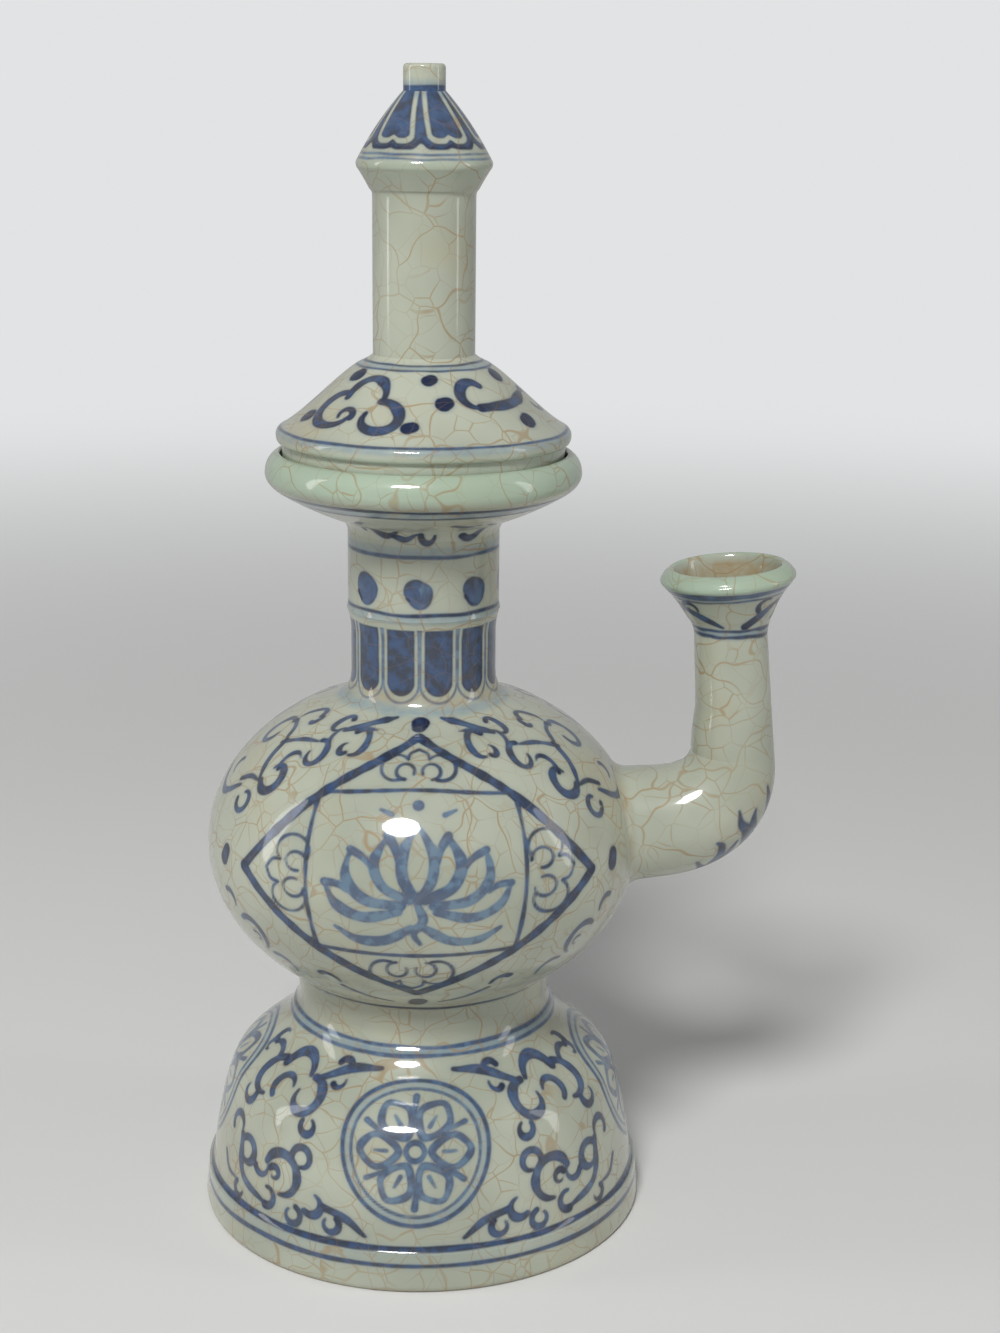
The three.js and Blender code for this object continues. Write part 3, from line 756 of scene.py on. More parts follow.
class Skin:
    # The painted face of a chain of outlines, unrolled: a row for each ring, a column for each half degree.
    # Azimuth counts from the front, towards the spout.
    columns = 720

    def __init__(self, *outlines, start=0.0):
        rows, self.along = [], []
        reach = start
        for outline in outlines:
            shown = [i for i, row in enumerate(outline.rows) if row["painted"]]
            outline.skin, outline.shown, outline.shift = self, (shown[0], shown[-1]), len(rows) - shown[0]
            last = None
            for i in shown:
                row = outline.rows[i]
                spot = np.array([row.get("x", 0), row["radius"], row["height"]])
                reach += 0 if last is None else np.linalg.norm(spot - last)
                last = spot
                rows.append(row)
                self.along.append(reach)
        self.along = np.array(self.along)
        self.radius = np.array([row["radius"] for row in rows])
        self.azimuth = np.arange(self.columns) * 360 / self.columns
        size = (len(rows), self.columns)
        self.ink, self.tone = np.full(size, -2.0), np.full(size, 0.6)
        self.wash, self.stain, self.celadon = np.zeros(size), np.zeros(size), np.zeros(size)

    def lay(self, window, depth, tone):
        deeper = depth > self.ink[window]
        self.tone[window] = np.where(deeper, tone, self.tone[window])
        self.ink[window] = np.where(deeper, depth, self.ink[window])

    def stamp(self, a0, s0, w0, a1, s1, w1, tone, cut=False):
        # one short run of the brush, between two spots of their own widths
        reach = max(w0, w1) / 2 + 1.4
        low = np.searchsorted(self.along, min(s0, s1) - reach)
        high = np.searchsorted(self.along, max(s0, s1) + reach)
        if low >= high:
            return
        radius = self.radius[low:high, None]
        span = np.degrees(reach / max(1.0, radius.min()))
        first = floor((min(a0, a1) - span) * self.columns / 360)
        last = ceil((max(a0, a1) + span) * self.columns / 360)
        columns = np.arange(first, min(last, first + self.columns - 1) + 1)
        x = np.radians(columns * 360 / self.columns - a0)[None, :] * radius
        y = (self.along[low:high] - s0)[:, None]
        dx, dy = np.radians(a1 - a0) * radius, s1 - s0
        t = np.clip((x * dx + y * dy) / (dx * dx + dy * dy + 1e-9), 0, 1)
        depth = (w0 + (w1 - w0) * t) / 2 - np.hypot(x - t * dx, y - t * dy)
        window = np.ix_(np.arange(low, high), columns % self.columns)
        if cut:
            self.ink[window] = np.minimum(self.ink[window], -depth)
        else:
            self.lay(window, depth, tone)

    def stroke(self, spot, points, width=2.2, tone=0.8, flip=1, head=0.85, tail=0.45, closed=False):
        # points are (x, y) in millimetres from the spot's azimuth and place along the skin, or (x, y, width).
        # A spot's radius turns x into degrees; without one, the skin's own radius does.
        azimuth, along, radius = spot
        path = smoothed(points, closed)
        reach = np.concatenate([[0], np.cumsum(np.hypot(*np.diff(path[:, :2], axis=0).T))])
        total = reach[-1]
        chance = np.random.default_rng(int(abs(path).sum() * 7) + int(abs(azimuth)))
        knots = max(2, ceil(total / 2.5))
        unsteady = np.interp(reach, np.linspace(0, total, knots), chance.uniform(-1, 1, knots))
        starting = 1 if closed else np.clip(reach / (1.5 * width), 0, 1)
        ending = 1 if closed else np.clip((total - reach) / (2.4 * width), 0, 1)
        if path.shape[1] == 3:
            widths = width * path[:, 2] * (1 + 0.06 * unsteady)
        else:
            taper = (head + (1 - head) * starting) * (tail + (1 - tail) * ending)
            widths = width * (1 + 0.17 * unsteady) * taper
        tones = tone * (1.2 - 0.2 * starting) * (1.12 - 0.12 * ending) * (1 + 0.14 * unsteady)
        s = along + path[:, 1]
        around = radius or np.interp(s, self.along, self.radius)
        a = azimuth + flip * np.degrees(path[:, 0] / around)
        for i in range(len(path) - 1):
            self.stamp(a[i], s[i], widths[i], a[i + 1], s[i + 1], widths[i + 1], tones[i])

    def dot(self, spot, x, y, width, tone=0.9, flip=1):
        azimuth, along, radius = spot
        a = azimuth + flip * np.degrees(x / (radius or np.interp(along + y, self.along, self.radius)))
        self.stamp(a, along + y, width, a, along + y + 0.01, width, tone)

    def shape(self, low, high, depthAt, tone, cut=False):
        # a figure from a rule: depthAt gives millimetres inside it
        rows = slice(np.searchsorted(self.along, low), np.searchsorted(self.along, high))
        depth = depthAt(self.azimuth[None, :], self.along[rows, None], self.radius[rows, None])
        if cut:
            self.ink[rows] = np.minimum(self.ink[rows], depth)
        else:
            self.lay(rows, depth, tone)

    def band(self, middle, width, tone, seed=1):
        line = middle + wander(seed, 0.12)(self.azimuth)
        half = width / 2 * (1 + wander(seed + 50, 0.12)(self.azimuth))
        self.shape(middle - 4, middle + 4, lambda a, s, r: half - np.abs(s - line), tone)

    def tint(self, level, low, high, amount, soft=0.5, seed=3):
        shift = wander(seed, 0.15 * soft)(self.azimuth)
        s = self.along[:, None] + shift[None, :]
        inside = np.clip((s - low) / soft + 0.5, 0, 1) * np.clip((high - s) / soft + 0.5, 0, 1)
        level[:] = np.maximum(level, amount * inside)


def around(azimuth, centre):
    # degrees from the centre, the short way round
    return (azimuth - centre + 180) % 360 - 180


def arc(x, y, radius, start, turn, drawIn=0.0):
    # points round (x, y), from the first angle through a turn, wound in by a share of the radius
    steps = max(3, ceil(abs(turn) / 25))
    line = []
    for i in range(steps + 1):
        t = i / steps
        angle, reach = radians(start + turn * t), radius * (1 - drawIn * t)
        line.append((x + reach * cos(angle), y + reach * sin(angle)))
    return line


def bowed(first, second, bow):
    # a line between two corners that swells to its left by the bow
    (x0, y0), (x1, y1) = first, second
    share = bow / hypot(x1 - x0, y1 - y0)
    middle = ((x0 + x1) / 2 - share * (y1 - y0), (y0 + y1) / 2 + share * (x1 - x0))
    return [first, middle, second]


# Brush work: the width of each stroke, then its line, in millimetres
footCloud = {
    "topLobe": (2.6, arc(-4.5, 18.5, 5.8, 170, -160)),
    "rightLobe": (2.5, arc(3.6, 14.6, 4.9, 95, -290, 0.35)),
    "innerLobe": (2.2, arc(-4.8, 14.4, 3.2, 235, -215)),
    "leftLobe": (2.3, arc(-11, 15.6, 4.9, 100, 185)),
    "leftHook": (1.9, arc(-14.6, 9.8, 2.6, 25, -230, 0.15)),
    "spiral": (1.8, arc(-19.5, 17, 5.2, 25, 100)),
    "spiralEnd": (1.7, arc(-23, 20, 1.6, 60, 230)),
    "leaf": (1.8, arc(-21, 22, 3.2, 180, -100)),
    "drop": (1.9, arc(7.6, 8.5, 2, 150, 270, 0.15)),
    "flame": (2.3, bowed((5, 20), (23, 25), 1.5)),
    "flameCurl": (1.6, arc(11, 22.5, 3.2, 140, -130)),
    "flameLow": (1.6, arc(11, 20.6, 2, 220, 150)),
    "lowHook": (1.8, arc(-15.8, 1.2, 2.5, 215, -240)),
    "lowLeft": (2.3, bowed((-13, 0), (-2, -12), -4)),
    "lowLeftEnd": (2.3, arc(-1.2, -10, 2.4, 260, 200, 0.2)),
    "lowLeftTop": (2.3, arc(-9.8, -2.9, 3.2, 140, -290, 0.25)),
    "lowCup": (2, arc(-3.9, -3.8, 2.2, 200, 180)),
    "lowRight": (2.4, arc(2.4, -4, 5, 160, -250, 0.1)),
    "lowInner": (1.8, arc(0.4, -4.2, 1.5, 150, -280, 0.2)),
    "lowRightTop": (2.1, arc(7.6, 1.2, 2.8, 200, -290, 0.3)),
    "tailHook": (1.9, arc(6.6, -12, 2.2, 70, -300, 0.25)),
    "tail": (2.2, arc(11.2, -8.2, 2.4, 230, 200)),
    "tailEnd": (2, bowed((14, -8), (24, -13), 1)),
    "tailCurl": (1.7, arc(16.2, -11.6, 2, 50, -270, 0.2)),
    "leftCurl": (1.5, arc(-11.6, -12.6, 1.7, 120, 230)),
    "edge": (1.4, bowed((-20, -7), (-13, -11), -1.5)),
}
footPaint = {
    "spots": [(-42, 1), (42, -1), (138, 1), (-138, -1)],       # azimuth, and -1 where mirrored
    "place": (26.2, 47),
    "roundelPlace": 32.6,
    "roundelRadius": 16.8,
    # painted lines: height along the skin, width and tone
    "lines": [(10.9, 1.5, 0.8), (7.1, 1.2, 0.7), (54.4, 0.95, 0.55), (56.4, 0.95, 0.55)],
}
globeCloud = {
    "hook": (1.8, arc(-52, 53.2, 1.7, 240, 180)),
    "crest": (1.3, arc(-57, 51, 5.6, 35, 145)),
    "spiral": (1.7, arc(-64.8, 45, 4.8, 60, 300, 0.35)),
    "spiralStem": (1.4, bowed((-62, 50), (-53, 44), 1.5)),
    "bodyStem": (1.6, bowed((-53, 45), (-49, 34), -1)),
    "body": (2.1, arc(-44.6, 36.6, 4.4, 210, 290, 0.45)),
    "inner": (1.3, arc(-42, 40.2, 3.4, 215, -170)),
    "headStem": (1.4, bowed((-54, 44), (-38, 48), 1)),
    "head": (1.7, arc(-35.8, 44.8, 4, 110, -290, 0.35)),
    "link": (1.3, arc(-32, 50.8, 3, 240, -160)),
    "tail": (1.8, arc(-23.5, 49.8, 5.4, 130, -220, 0.35)),
    "tailEnd": (1.4, arc(-26.4, 47.8, 1.6, 320, -230)),
    "flame": (2.2, bowed((-32, 53), (-12, 60), 1)),
    "flameLow": (1.4, bowed((-26, 53), (-18, 55), 1)),
    "topCurl": (1.5, arc(-36.5, 54.6, 3.6, 40, 250, 0.3)),
    "comma": (1.6, arc(-65.5, 33.2, 2, 100, 160)),
    "longHook": (1.8, bowed((-74, 31), (-56, 31), -4)),
    "bridge": (1.3, bowed((-58, 32), (-49, 34), 1)),
    "lowLoop": (1.7, arc(-50.8, 28.8, 3, 190, 290, 0.4)),
    "lowComma": (1.6, arc(-50, 5.8, 2.4, 120, -140)),
    "underLoop": (1.7, arc(-43.5, -1.2, 4.4, 130, -190)),
    "underCurl": (1.1, arc(-42.4, -1.4, 1.2, 120, -220)),
    "underArch": (1.5, arc(-37.5, -9.4, 3.8, 110, -130)),
    "underLeaf": (1.9, arc(-23, -10.6, 3.2, 120, -110)),
    "underTail": (1.4, bowed((-20, -12), (-7, -19), -1)),
}
globeFrame = {
    "middle": (0.5, 16),         # where the diamond is widest
    "halfWidth": 43,
    "up": 37.5,
    "down": 28.5,
    "bow": 4,                    # of the two upper sides
    "lowBow": 0.8,
    "squareTop": 36.5,
    "squareLow": 2,
    "squareHalfTop": 26.5,
    "squareHalfLow": 22.5,
    "squareBow": 2.3,            # of its upper side
    "dotAbove": 4,               # the dots' places beyond the diamond's corners
    "dotBeside": 8.5,
    "dotBelow": 6.5,
    # half of a cloud head, in shares of its half width and height
    "cloudHead": [
        arc(-0.34, 0.28, 0.24, 270, -290),
        arc(-0.6, 0.4, 0.4, 290, -250),
        [(-0.3, 0.66), (-0.25, 0.86), (0, 1)],
    ],
}
# A lotus on its stem; each line is drawn again on the other side
lotus = {
    "bud": [(0, 14.8), (-3.1, 19.5), (-3.2, 25), (0, 31)],
    "innerPetal": [(-1.6, 15), (-7.2, 17.5), (-9.6, 22.5), (-7, 28.5)],
    "innerFold": [(-7, 28.5), (-5.2, 25.8), (-4.4, 22.6)],
    "outerPetal": [(-3.4, 13.8), (-11, 14.6), (-15.6, 19), (-15.4, 25)],
    "outerFold": [(-15.4, 25), (-12, 23.4), (-10, 21)],
    "lowPetal": [(-4, 12.4), (-11.5, 10.8), (-17.5, 13), (-20.5, 17.5)],
    "lowFold": [(-20.5, 17.5), (-17.4, 17.4), (-15.2, 16)],
    "leafEdge": [(-1.4, 8.8), (-7, 5.6), (-13, 5.4), (-18, 8)],
    "seedHead": [(-6.5, 33), (-9.5, 34)],
}


def paintFoot(skin):
    along, radius = footPaint["place"]
    for azimuth, flip in footPaint["spots"]:
        for width, line in footCloud.values():
            skin.stroke((azimuth, along, radius), line, width, 0.7, flip)

    middle, size = footPaint["roundelPlace"], footPaint["roundelRadius"]
    low, high = middle - size - 2.2, middle + size + 2.2
    for azimuth in (0, 90, 180, 270):
        def distance(a, s, r):
            return np.hypot(np.radians(around(a, azimuth)) * r, s - middle)

        # clear ground inside the circle, then its two lines with a wash between them
        skin.shape(low, high, lambda a, s, r: distance(a, s, r) - size - 0.3, 0, cut=True)
        skin.shape(low, high, lambda a, s, r: 0.55 - np.abs(distance(a, s, r) - size + 0.5), 0.6)
        skin.shape(low, high, lambda a, s, r: 0.4 - np.abs(distance(a, s, r) - size + 2.5), 0.5)
        gap = distance(skin.azimuth[None, :], skin.along[:, None], skin.radius[:, None])
        between = np.clip((size - gap) / 0.4, 0, 1) * np.clip((gap - size + 2.6) / 0.4, 0, 1)
        skin.wash[:] = np.maximum(skin.wash, 0.4 * between)
        # rosette: six petals round an open eye, with a leaf tip between each two
        for i in range(6):
            turn = radians(60 * i + 30)

            def turned(points):
                return [(x * cos(turn) - y * sin(turn), x * sin(turn) + y * cos(turn)) for x, y in points]
            petal = [(0, 3.6), (-2.6, 6), (-3.5, 8.8), (-1.9, 11.2), (0, 12.3),
                     (1.9, 11.2), (3.5, 8.8), (2.6, 6)]
            skin.stroke((azimuth, middle, None), turned(petal), 1.7, 0.5, closed=True)
            skin.stroke((azimuth, middle, None), turned([(-6.2, 10.8), (-5.2, 8.6), (-4.4, 7.2)]), 1.7, 0.45)
            skin.stroke((azimuth, middle, None), turned([(0, 6.2), (0, 9)]), 1.3, 0.35)
        eye = [(2 * cos(t), 2 * sin(t)) for t in np.arange(8) * pi / 4]
        skin.stroke((azimuth, middle, None), eye, 1.3, 0.55, closed=True)

    for seed, line in enumerate(footPaint["lines"], 11):
        skin.band(*line, seed)
    skin.tint(skin.wash, 7.1, 10.9, 0.15)
    skin.tint(skin.wash, 54.4, 56.6, 0.6)
    skin.tint(skin.stain, -1, 1.6, 0.5, 1.2)


def paintGlobe(skin):
    skin.band(66.5, 1.3, 0.85, 15)
    for azimuth in (-0.5, 179.5):
        spot = (azimuth, 90.8, 48.9)
        for flip in (1, -1):
            for width, line in globeCloud.values():
                skin.stroke(spot, line, width, 0.72, flip)
            for line in lotus.values():
                skin.stroke(spot, [(x + flip, y) for x, y in line], 2.4, 0.42, flip, 0.8, 0.35)
        skin.stroke(spot, [(1, 14), (2.2, 10.5), (0.2, 7.5), (1.6, 4.8)], 2.2, 0.45)
        skin.dot(spot, 1, 35.2, 2.6, 0.5)
        (x, y), half = globeFrame["middle"], globeFrame["halfWidth"]
        left, right = (x - half, y), (x + half, y)
        top, bottom = (x, y + globeFrame["up"]), (x, y - globeFrame["down"])
        bow, lowBow = globeFrame["bow"], globeFrame["lowBow"]
        sides = [bowed(left, top, bow), bowed(top, right, bow), bowed(right, bottom, lowBow),
                 bowed(bottom, left, lowBow)]
        for line in sides:
            skin.stroke(spot, line, 2.4, 0.82, head=1, tail=1)
        wide, narrow = globeFrame["squareHalfTop"], globeFrame["squareHalfLow"]
        high, low = globeFrame["squareTop"], globeFrame["squareLow"]
        corners = [(x - wide, high), (x + wide, high), (x + narrow, low), (x - narrow, low)]
        for i, corner in enumerate(corners):
            line = bowed(corner, corners[(i + 1) % 4], globeFrame["squareBow"] if i == 0 else 0.3)
            skin.stroke(spot, line, 1.1, 0.7, head=1, tail=1)
        beside = globeFrame["dotBeside"]
        dots = [(x, top[1] + globeFrame["dotAbove"]), (x, bottom[1] - globeFrame["dotBelow"]),
                (left[0] - beside, y), (right[0] + beside, y)]
        for across, up in dots:
            skin.stroke(spot, [(across - 0.4, up - 0.9), (across + 0.3, up + 0.9)], 4.0, 0.8, head=1, tail=0.95)
        for half in globeFrame["cloudHead"]:
            for side in (1, -1):
                top = [(0.75 + side * u * 11.5, 41 + v * 8.5) for u, v in half]
                bottom = [(-0.5 + side * u * 9.75, -v * 10) for u, v in half]
                left = [(-24 - v * 11, 17.7 + side * u * 8.3) for u, v in half]
                right = [(26.5 + v * 11.5, 18.5 + side * u * 9) for u, v in half]
                for line in (top, bottom, left, right):
                    skin.stroke(spot, line, 0.85, 0.68, head=1, tail=0.9)


def paintNeck(skin):
    # pale blue where the glaze pools at the root, brown in the crackle above it
    skin.tint(skin.wash, 151.2, 154.2, 0.55, 1.6)
    skin.tint(skin.stain, 153.6, 156.5, 0.3, 2.2)

    # lappets: a line round each, a white gap, and a dark filling
    rounding, line = 4.24, 158.6

    def inside(a, s, r):
        x = np.radians(around((a + 16) % 30, 15) + 15 - 30 * ((a + 16) % 30 > 15)) * r
        return np.where(s > line, rounding - np.abs(x), rounding - np.hypot(x, s - line))

    skin.shape(152, 171.3, lambda a, s, r: 0.3 - np.abs(inside(a, s, r) - 0.15), 0.45)
    def filling(a, s, r):
        return np.minimum(inside(a, s, r) - 1.05 - np.clip((line - s) / 5, 0, 0.8), 170.9 - s)

    skin.shape(152, 171.3, filling, 0.78)
    skin.band(174.4, 0.9, 0.8, 16)
    skin.tint(skin.wash, 172.2, 174.4, 0.45)
    for i in range(8):
        spot = (-1.4 + 45 * i, 178.9, None)
        skin.stroke(spot, [(-0.7, 0.9), (0.2, -0.8), (0.9, 0.6), (-0.2, 1.3)], 4.9, 0.55, head=1, tail=1)
        skin.stroke(spot, [(-2.3, -0.6), (-0.6, -2.4), (1.4, -2)], 1.5, 0.85, head=1, tail=0.9)
    skin.band(187.2, 0.9, 0.6, 17)
    skin.tint(skin.wash, 187.2, 189.4, 0.5, 0.8)


# Scrolls under the dish, in millimetres round and along it from the middle of each repeat
dishScroll = {
    "leftLoop": (2, arc(-10, 4.6, 4.6, 120, 200)),
    "leftStem": (1.9, [(-8.5, 0.2), (-4.5, -0.8), (-1, 0.8)]),
    "middle": (1.9, arc(2, 0.4, 2, 170, 190)),
    "rightLoop": (2, arc(15, 3.4, 4.4, 230, 210, 0.2)),
    "leaf": (2.1, [(7, 8), (10, 6.4), (13.5, 7)]),
    "drop": (2, [(-17, 1.2), (-18.4, 3)]),
}


def paintDish(skin):
    for turn in (0, 120, 240):
        for width, line in dishScroll.values():
            skin.stroke((turn, 192, 23), line, width, 0.82)
    skin.band(205.8, 1.2, 0.85, 18)
    skin.band(209.4, 1.4, 0.92, 19)
    skin.tint(skin.wash, 205.8, 209.4, 0.62)
    skin.tint(skin.celadon, 212, 225, 0.7, 2.0)


lidCloud = {
    "leftLobe": (2.5, arc(-18.8, 13.8, 4.9, 95, 245, 0.1)),
    "leftEnd": (2.2, arc(-15.6, 12.8, 1.6, 340, 230)),
    "topLobe": (2.5, arc(-13.5, 18.4, 5, 190, -200)),
    "rightLobe": (2.6, arc(-8.3, 12.8, 4.5, 100, -300, 0.3)),
    "scroll": (2.5, arc(12.6, 19, 3.6, 40, 230)),
    "scrollStem": (2.7, bowed((12.6, 15.4), (31, 18), -1)),
    "scrollEnd": (1.9, arc(32.2, 14.4, 3.9, 105, -280, 0.5)),
}
lidDots = {
    "rows": [(-26, 10.5), (-22, 23.5)],      # the first dot of each row
    "spacing": 24,
    "inRow": 3,
    "between": (5, 17),                      # one dot between the cloud and the scroll
    "width": 3.5,
}
capPaint = {
    "petals": 6,
    "firstPetal": -31,           # azimuth of a petal's round end
    "drift": -7,                 # how far its tip is turned from it
    "halfTurn": 21,
    "ground": 74.8,              # where the blue starts, along the cover's skin
    "petalEnd": 76.9,
    "tip": 89.4,
}


def paintCover(skin):
    skin.band(4.4, 0.9, 0.62, 20)
    skin.tint(skin.wash, 2.6, 4.4, 0.5, 0.8)
    skin.tint(skin.celadon, 0, 2.2, 0.3, 1.0)
    for azimuth in (1, 181):
        spot = (azimuth, 0, 22)
        for width, line in lidCloud.values():
            skin.stroke(spot, line, width, 0.82)
        dots = [(x + i * lidDots["spacing"], y) for x, y in lidDots["rows"] for i in range(lidDots["inRow"])]
        for x, y in dots + [lidDots["between"]]:
            skin.stroke(spot, [(x - 0.4, y - 0.2), (x + 0.4, y + 0.2)], lidDots["width"], 0.85, head=1, tail=1)
    skin.band(28.2, 0.8, 0.7, 21)
    skin.band(26.2, 0.7, 0.65, 22)
    skin.tint(skin.wash, 26.2, 28.2, 0.5)

    # cap: dark ground with white-lined petals that run up to the nozzle
    pitch, end, tip = 360 / capPaint["petals"], capPaint["petalEnd"], capPaint["tip"]
    first, drift = capPaint["firstPetal"], capPaint["drift"]

    def fromPetal(a, s, r):
        # millimetres across from the middle of the nearest petal
        centre = first + drift * np.clip((s - end) / (tip - end), 0, 1)
        return np.radians((a - centre + pitch / 2) % pitch - pitch / 2) * r

    def insidePetal(a, s, r):
        x = fromPetal(a, s, r)
        side = np.radians(capPaint["halfTurn"]) * r - np.abs(x)
        up = s - end - 0.9 * np.exp(-(x / 0.8) ** 2)
        corner = 1.9
        rounded = corner - np.hypot(np.clip(corner - side, 0, None), np.clip(corner - up, 0, None))
        return np.where((side < corner) & (up < corner), rounded, np.minimum(side, up))

    def ground(a, s, r):
        across = np.radians((a - first + pitch / 2) % pitch - pitch / 2) * r
        between = np.radians(pitch / 2) * r - np.abs(across)
        return s - capPaint["ground"] - 1.4 * np.exp(-(between / 1.1) ** 2) - 0.4 * np.exp(-(across / 0.9) ** 2)

    skin.shape(72, 92.5, lambda a, s, r: np.minimum(ground(a, s, r), tip + 1.2 - s), 0.74)
    skin.shape(72, 92.5, lambda a, s, r: -0.4 - insidePetal(a, s, r), 0.9)
    skin.shape(72, 92.5, lambda a, s, r: np.minimum(ground(a, s, r), tip + 1.2 - s), 0, cut=True)
    skin.shape(72, tip, lambda a, s, r: np.abs(insidePetal(a, s, r)) - 0.46 - 0.14 * (s < end + 1), 0, cut=True)
    skin.band(73.8, 0.6, 0.5, 23)
    skin.band(72.7, 0.55, 0.45, 24)
    skin.tint(skin.wash, 87.5, 91.5, 0.55, 1.4)
    skin.tint(skin.celadon, 68, 72.4, 0.2, 1.5)


def paintArm(skin):
    # flames along the outer side of the elbow, drawn on both flanks
    base = skin.along[np.searchsorted(skin.along, skin.along[-1] - 26.6)]
    flames = {
        "spine": [(90, 6.5, 3.6), (90, 12, 4.6), (90, 18, 4), (90, 23.5, 1.6)],
        "first": [(84, 7.4, 3), (60, 7.8, 2.6), (46, 9.4, 1.7), (33, 10.2, 1.2), (27, 9.8, 0.6)],
        "firstCurl": [(62, 9, 2), (52, 11, 1.6), (47, 12.2, 0.9)],
        "second": [(84, 12, 3.4), (62, 13.4, 3), (44, 14.4, 2), (30, 14.8, 1.4), (19, 16.4, 0.6)],
        "secondCurl": [(60, 14.4, 2.4), (46, 16, 1.8), (41, 17.6, 0.8)],
        "third": [(84, 16.5, 3), (70, 18, 2.4), (60, 19.8, 1.7), (52, 21.4, 0.7)],
        "tail": [(84, 7, 2.6), (62, 5.8, 1.5), (42, 5.4, 0.7)],
    }
    for line in flames.values():
        for flip in (1, -1):
            points = smoothed([(a / 6, s, width) for a, s, width in line])
            for (a0, s0, w0), (a1, s1, w1) in zip(points, points[1:]):
                a0, a1 = (6 * a0, 6 * a1) if flip == 1 else (180 - 6 * a0, 180 - 6 * a1)
                skin.stamp(a0, base + s0, w0, a1, base + s1, w1, 0.72)
    skin.tint(skin.stain, -1, 2.2, 0.35, 2.4)


def paintCup(skin):
    skin.band(1.0, 0.9, 0.75, 25)
    skin.band(2.6, 0.9, 0.75, 26)
    skin.tint(skin.wash, 1.0, 2.6, 0.6)
    skin.band(11.3, 0.7, 0.6, 27)
    skin.band(13.1, 1.7, 0.62, 28)
    skin.tint(skin.wash, 11.3, 13.1, 0.5)
    skin.tint(skin.celadon, 13.9, 19.5, 0.7, 1.2)
    # two sprays of leaves on each side, in millimetres from the middle of a side
    sprays = {
        "stem": (2.2, [(-16, 10.6), (-9, 7), (-3, 3.6)]),
        "upper": (1.6, arc(-10.2, 8.6, 2, 140, -150)),
        "lower": (1.6, arc(-12.6, 6.2, 2.2, 110, 160)),
        "farStem": (2.2, [(3, 3.8), (8, 7), (13, 10.6)]),
        "farUpper": (1.6, arc(7.4, 8.8, 2, 220, -150)),
        "farLower": (1.6, arc(11, 6.8, 2.2, 80, -150)),
    }
    for turn in (0, 180):
        for width, line in sprays.values():
            skin.stroke((turn, 0, 11), line, width, 0.78)


def ringTree():
    # Joins rings into one closed skin: a grid with a row for each ring, wrapped round their centres
    tree = bpy.data.node_groups.new("thrown_rings", "GeometryNodeTree")
    face = tree.interface
    face.new_socket("Geometry", in_out="INPUT", socket_type="NodeSocketGeometry")
    face.new_socket("Sides", in_out="INPUT", socket_type="NodeSocketInt")
    face.new_socket("Unevenness", in_out="INPUT", socket_type="NodeSocketFloat")
    face.new_socket("Finish", in_out="INPUT", socket_type="NodeSocketMaterial")
    face.new_socket("Geometry", in_out="OUTPUT", socket_type="NodeSocketGeometry")
    start = Wire(tree)
    given = start.node("NodeGroupInput")
    sides, unevenness, finish = given.also(1), given.also(2), given.also(3)
    rings = start.node("GeometryNodeAttributeDomainSize", {"component": "MESH"}, {"Geometry": given})
    grid = start.node("GeometryNodeMeshGrid", {}, {"Vertices X": rings, "Vertices Y": sides + 1})
    index = start.node("GeometryNodeInputIndex")
    ring = start.math("FLOOR", (index + 0.5) / (sides + 1))
    column = index - ring * (sides + 1)
    turn = column / sides * (2 * pi)

    def ofRing(name):
        value = start.node("GeometryNodeInputNamedAttribute", {"data_type": "FLOAT"}, {"Name": name})
        return start.node("GeometryNodeSampleIndex", {"data_type": "FLOAT"},
                          {"Geometry": given, "Value": value, "Index": ring})

    centre = start.node("GeometryNodeSampleIndex", {"data_type": "FLOAT_VECTOR"},
                        {"Geometry": given, "Value": start.node("GeometryNodeInputPosition"), "Index": ring})
    radius, lean, web = ofRing("radius"), ofRing("lean"), ofRing("web")
    across = (radius + web) * start.math("COSINE", turn) - web
    offset = start.node("ShaderNodeCombineXYZ", {}, {
        "X": across * start.math("COSINE", lean),
        "Y": radius * start.math("SINE", turn),
        "Z": across * start.math("SINE", lean),
    })
    place = start.node("ShaderNodeVectorMath", {"operation": "ADD"}, {0: centre, 1: offset})
    sway = start.node("ShaderNodeTexNoise", {}, {"Vector": place, "Scale": 28.0, "Detail": 1.0})
    sway = start.node("ShaderNodeVectorMath", {"operation": "SCALE"},
                      {"Vector": offset, "Scale": (sway - 0.5) * unevenness})
    place = start.node("ShaderNodeVectorMath", {"operation": "ADD"}, {0: place, 1: sway})
    shaped = start.node("GeometryNodeSetPosition", {}, {"Geometry": grid, "Position": place})
    shaped = start.node("GeometryNodeStoreNamedAttribute", {"data_type": "FLOAT", "domain": "POINT"},
                        {"Geometry": shaped, "Name": "ring", "Value": ring})
    closed = start.node("GeometryNodeMergeByDistance", {}, {"Geometry": shaped, "Distance": 0.004 * mm})
    done = start.node("GeometryNodeRealizeInstances", {}, {"Geometry": closed})
    done = start.node("GeometryNodeSetMaterial", {}, {"Geometry": done, "Material": finish})
    end = tree.nodes.new("NodeGroupOutput")
    tree.links.new(done.socket, end.inputs[0])
    return tree


rings = ringTree()
unevenness = 0.008


def finished(piece):
    faceOut(piece.data)
    piece.data.shade_smooth()
    piece.data.set_sharp_from_angle(angle=radians(50))
    return piece


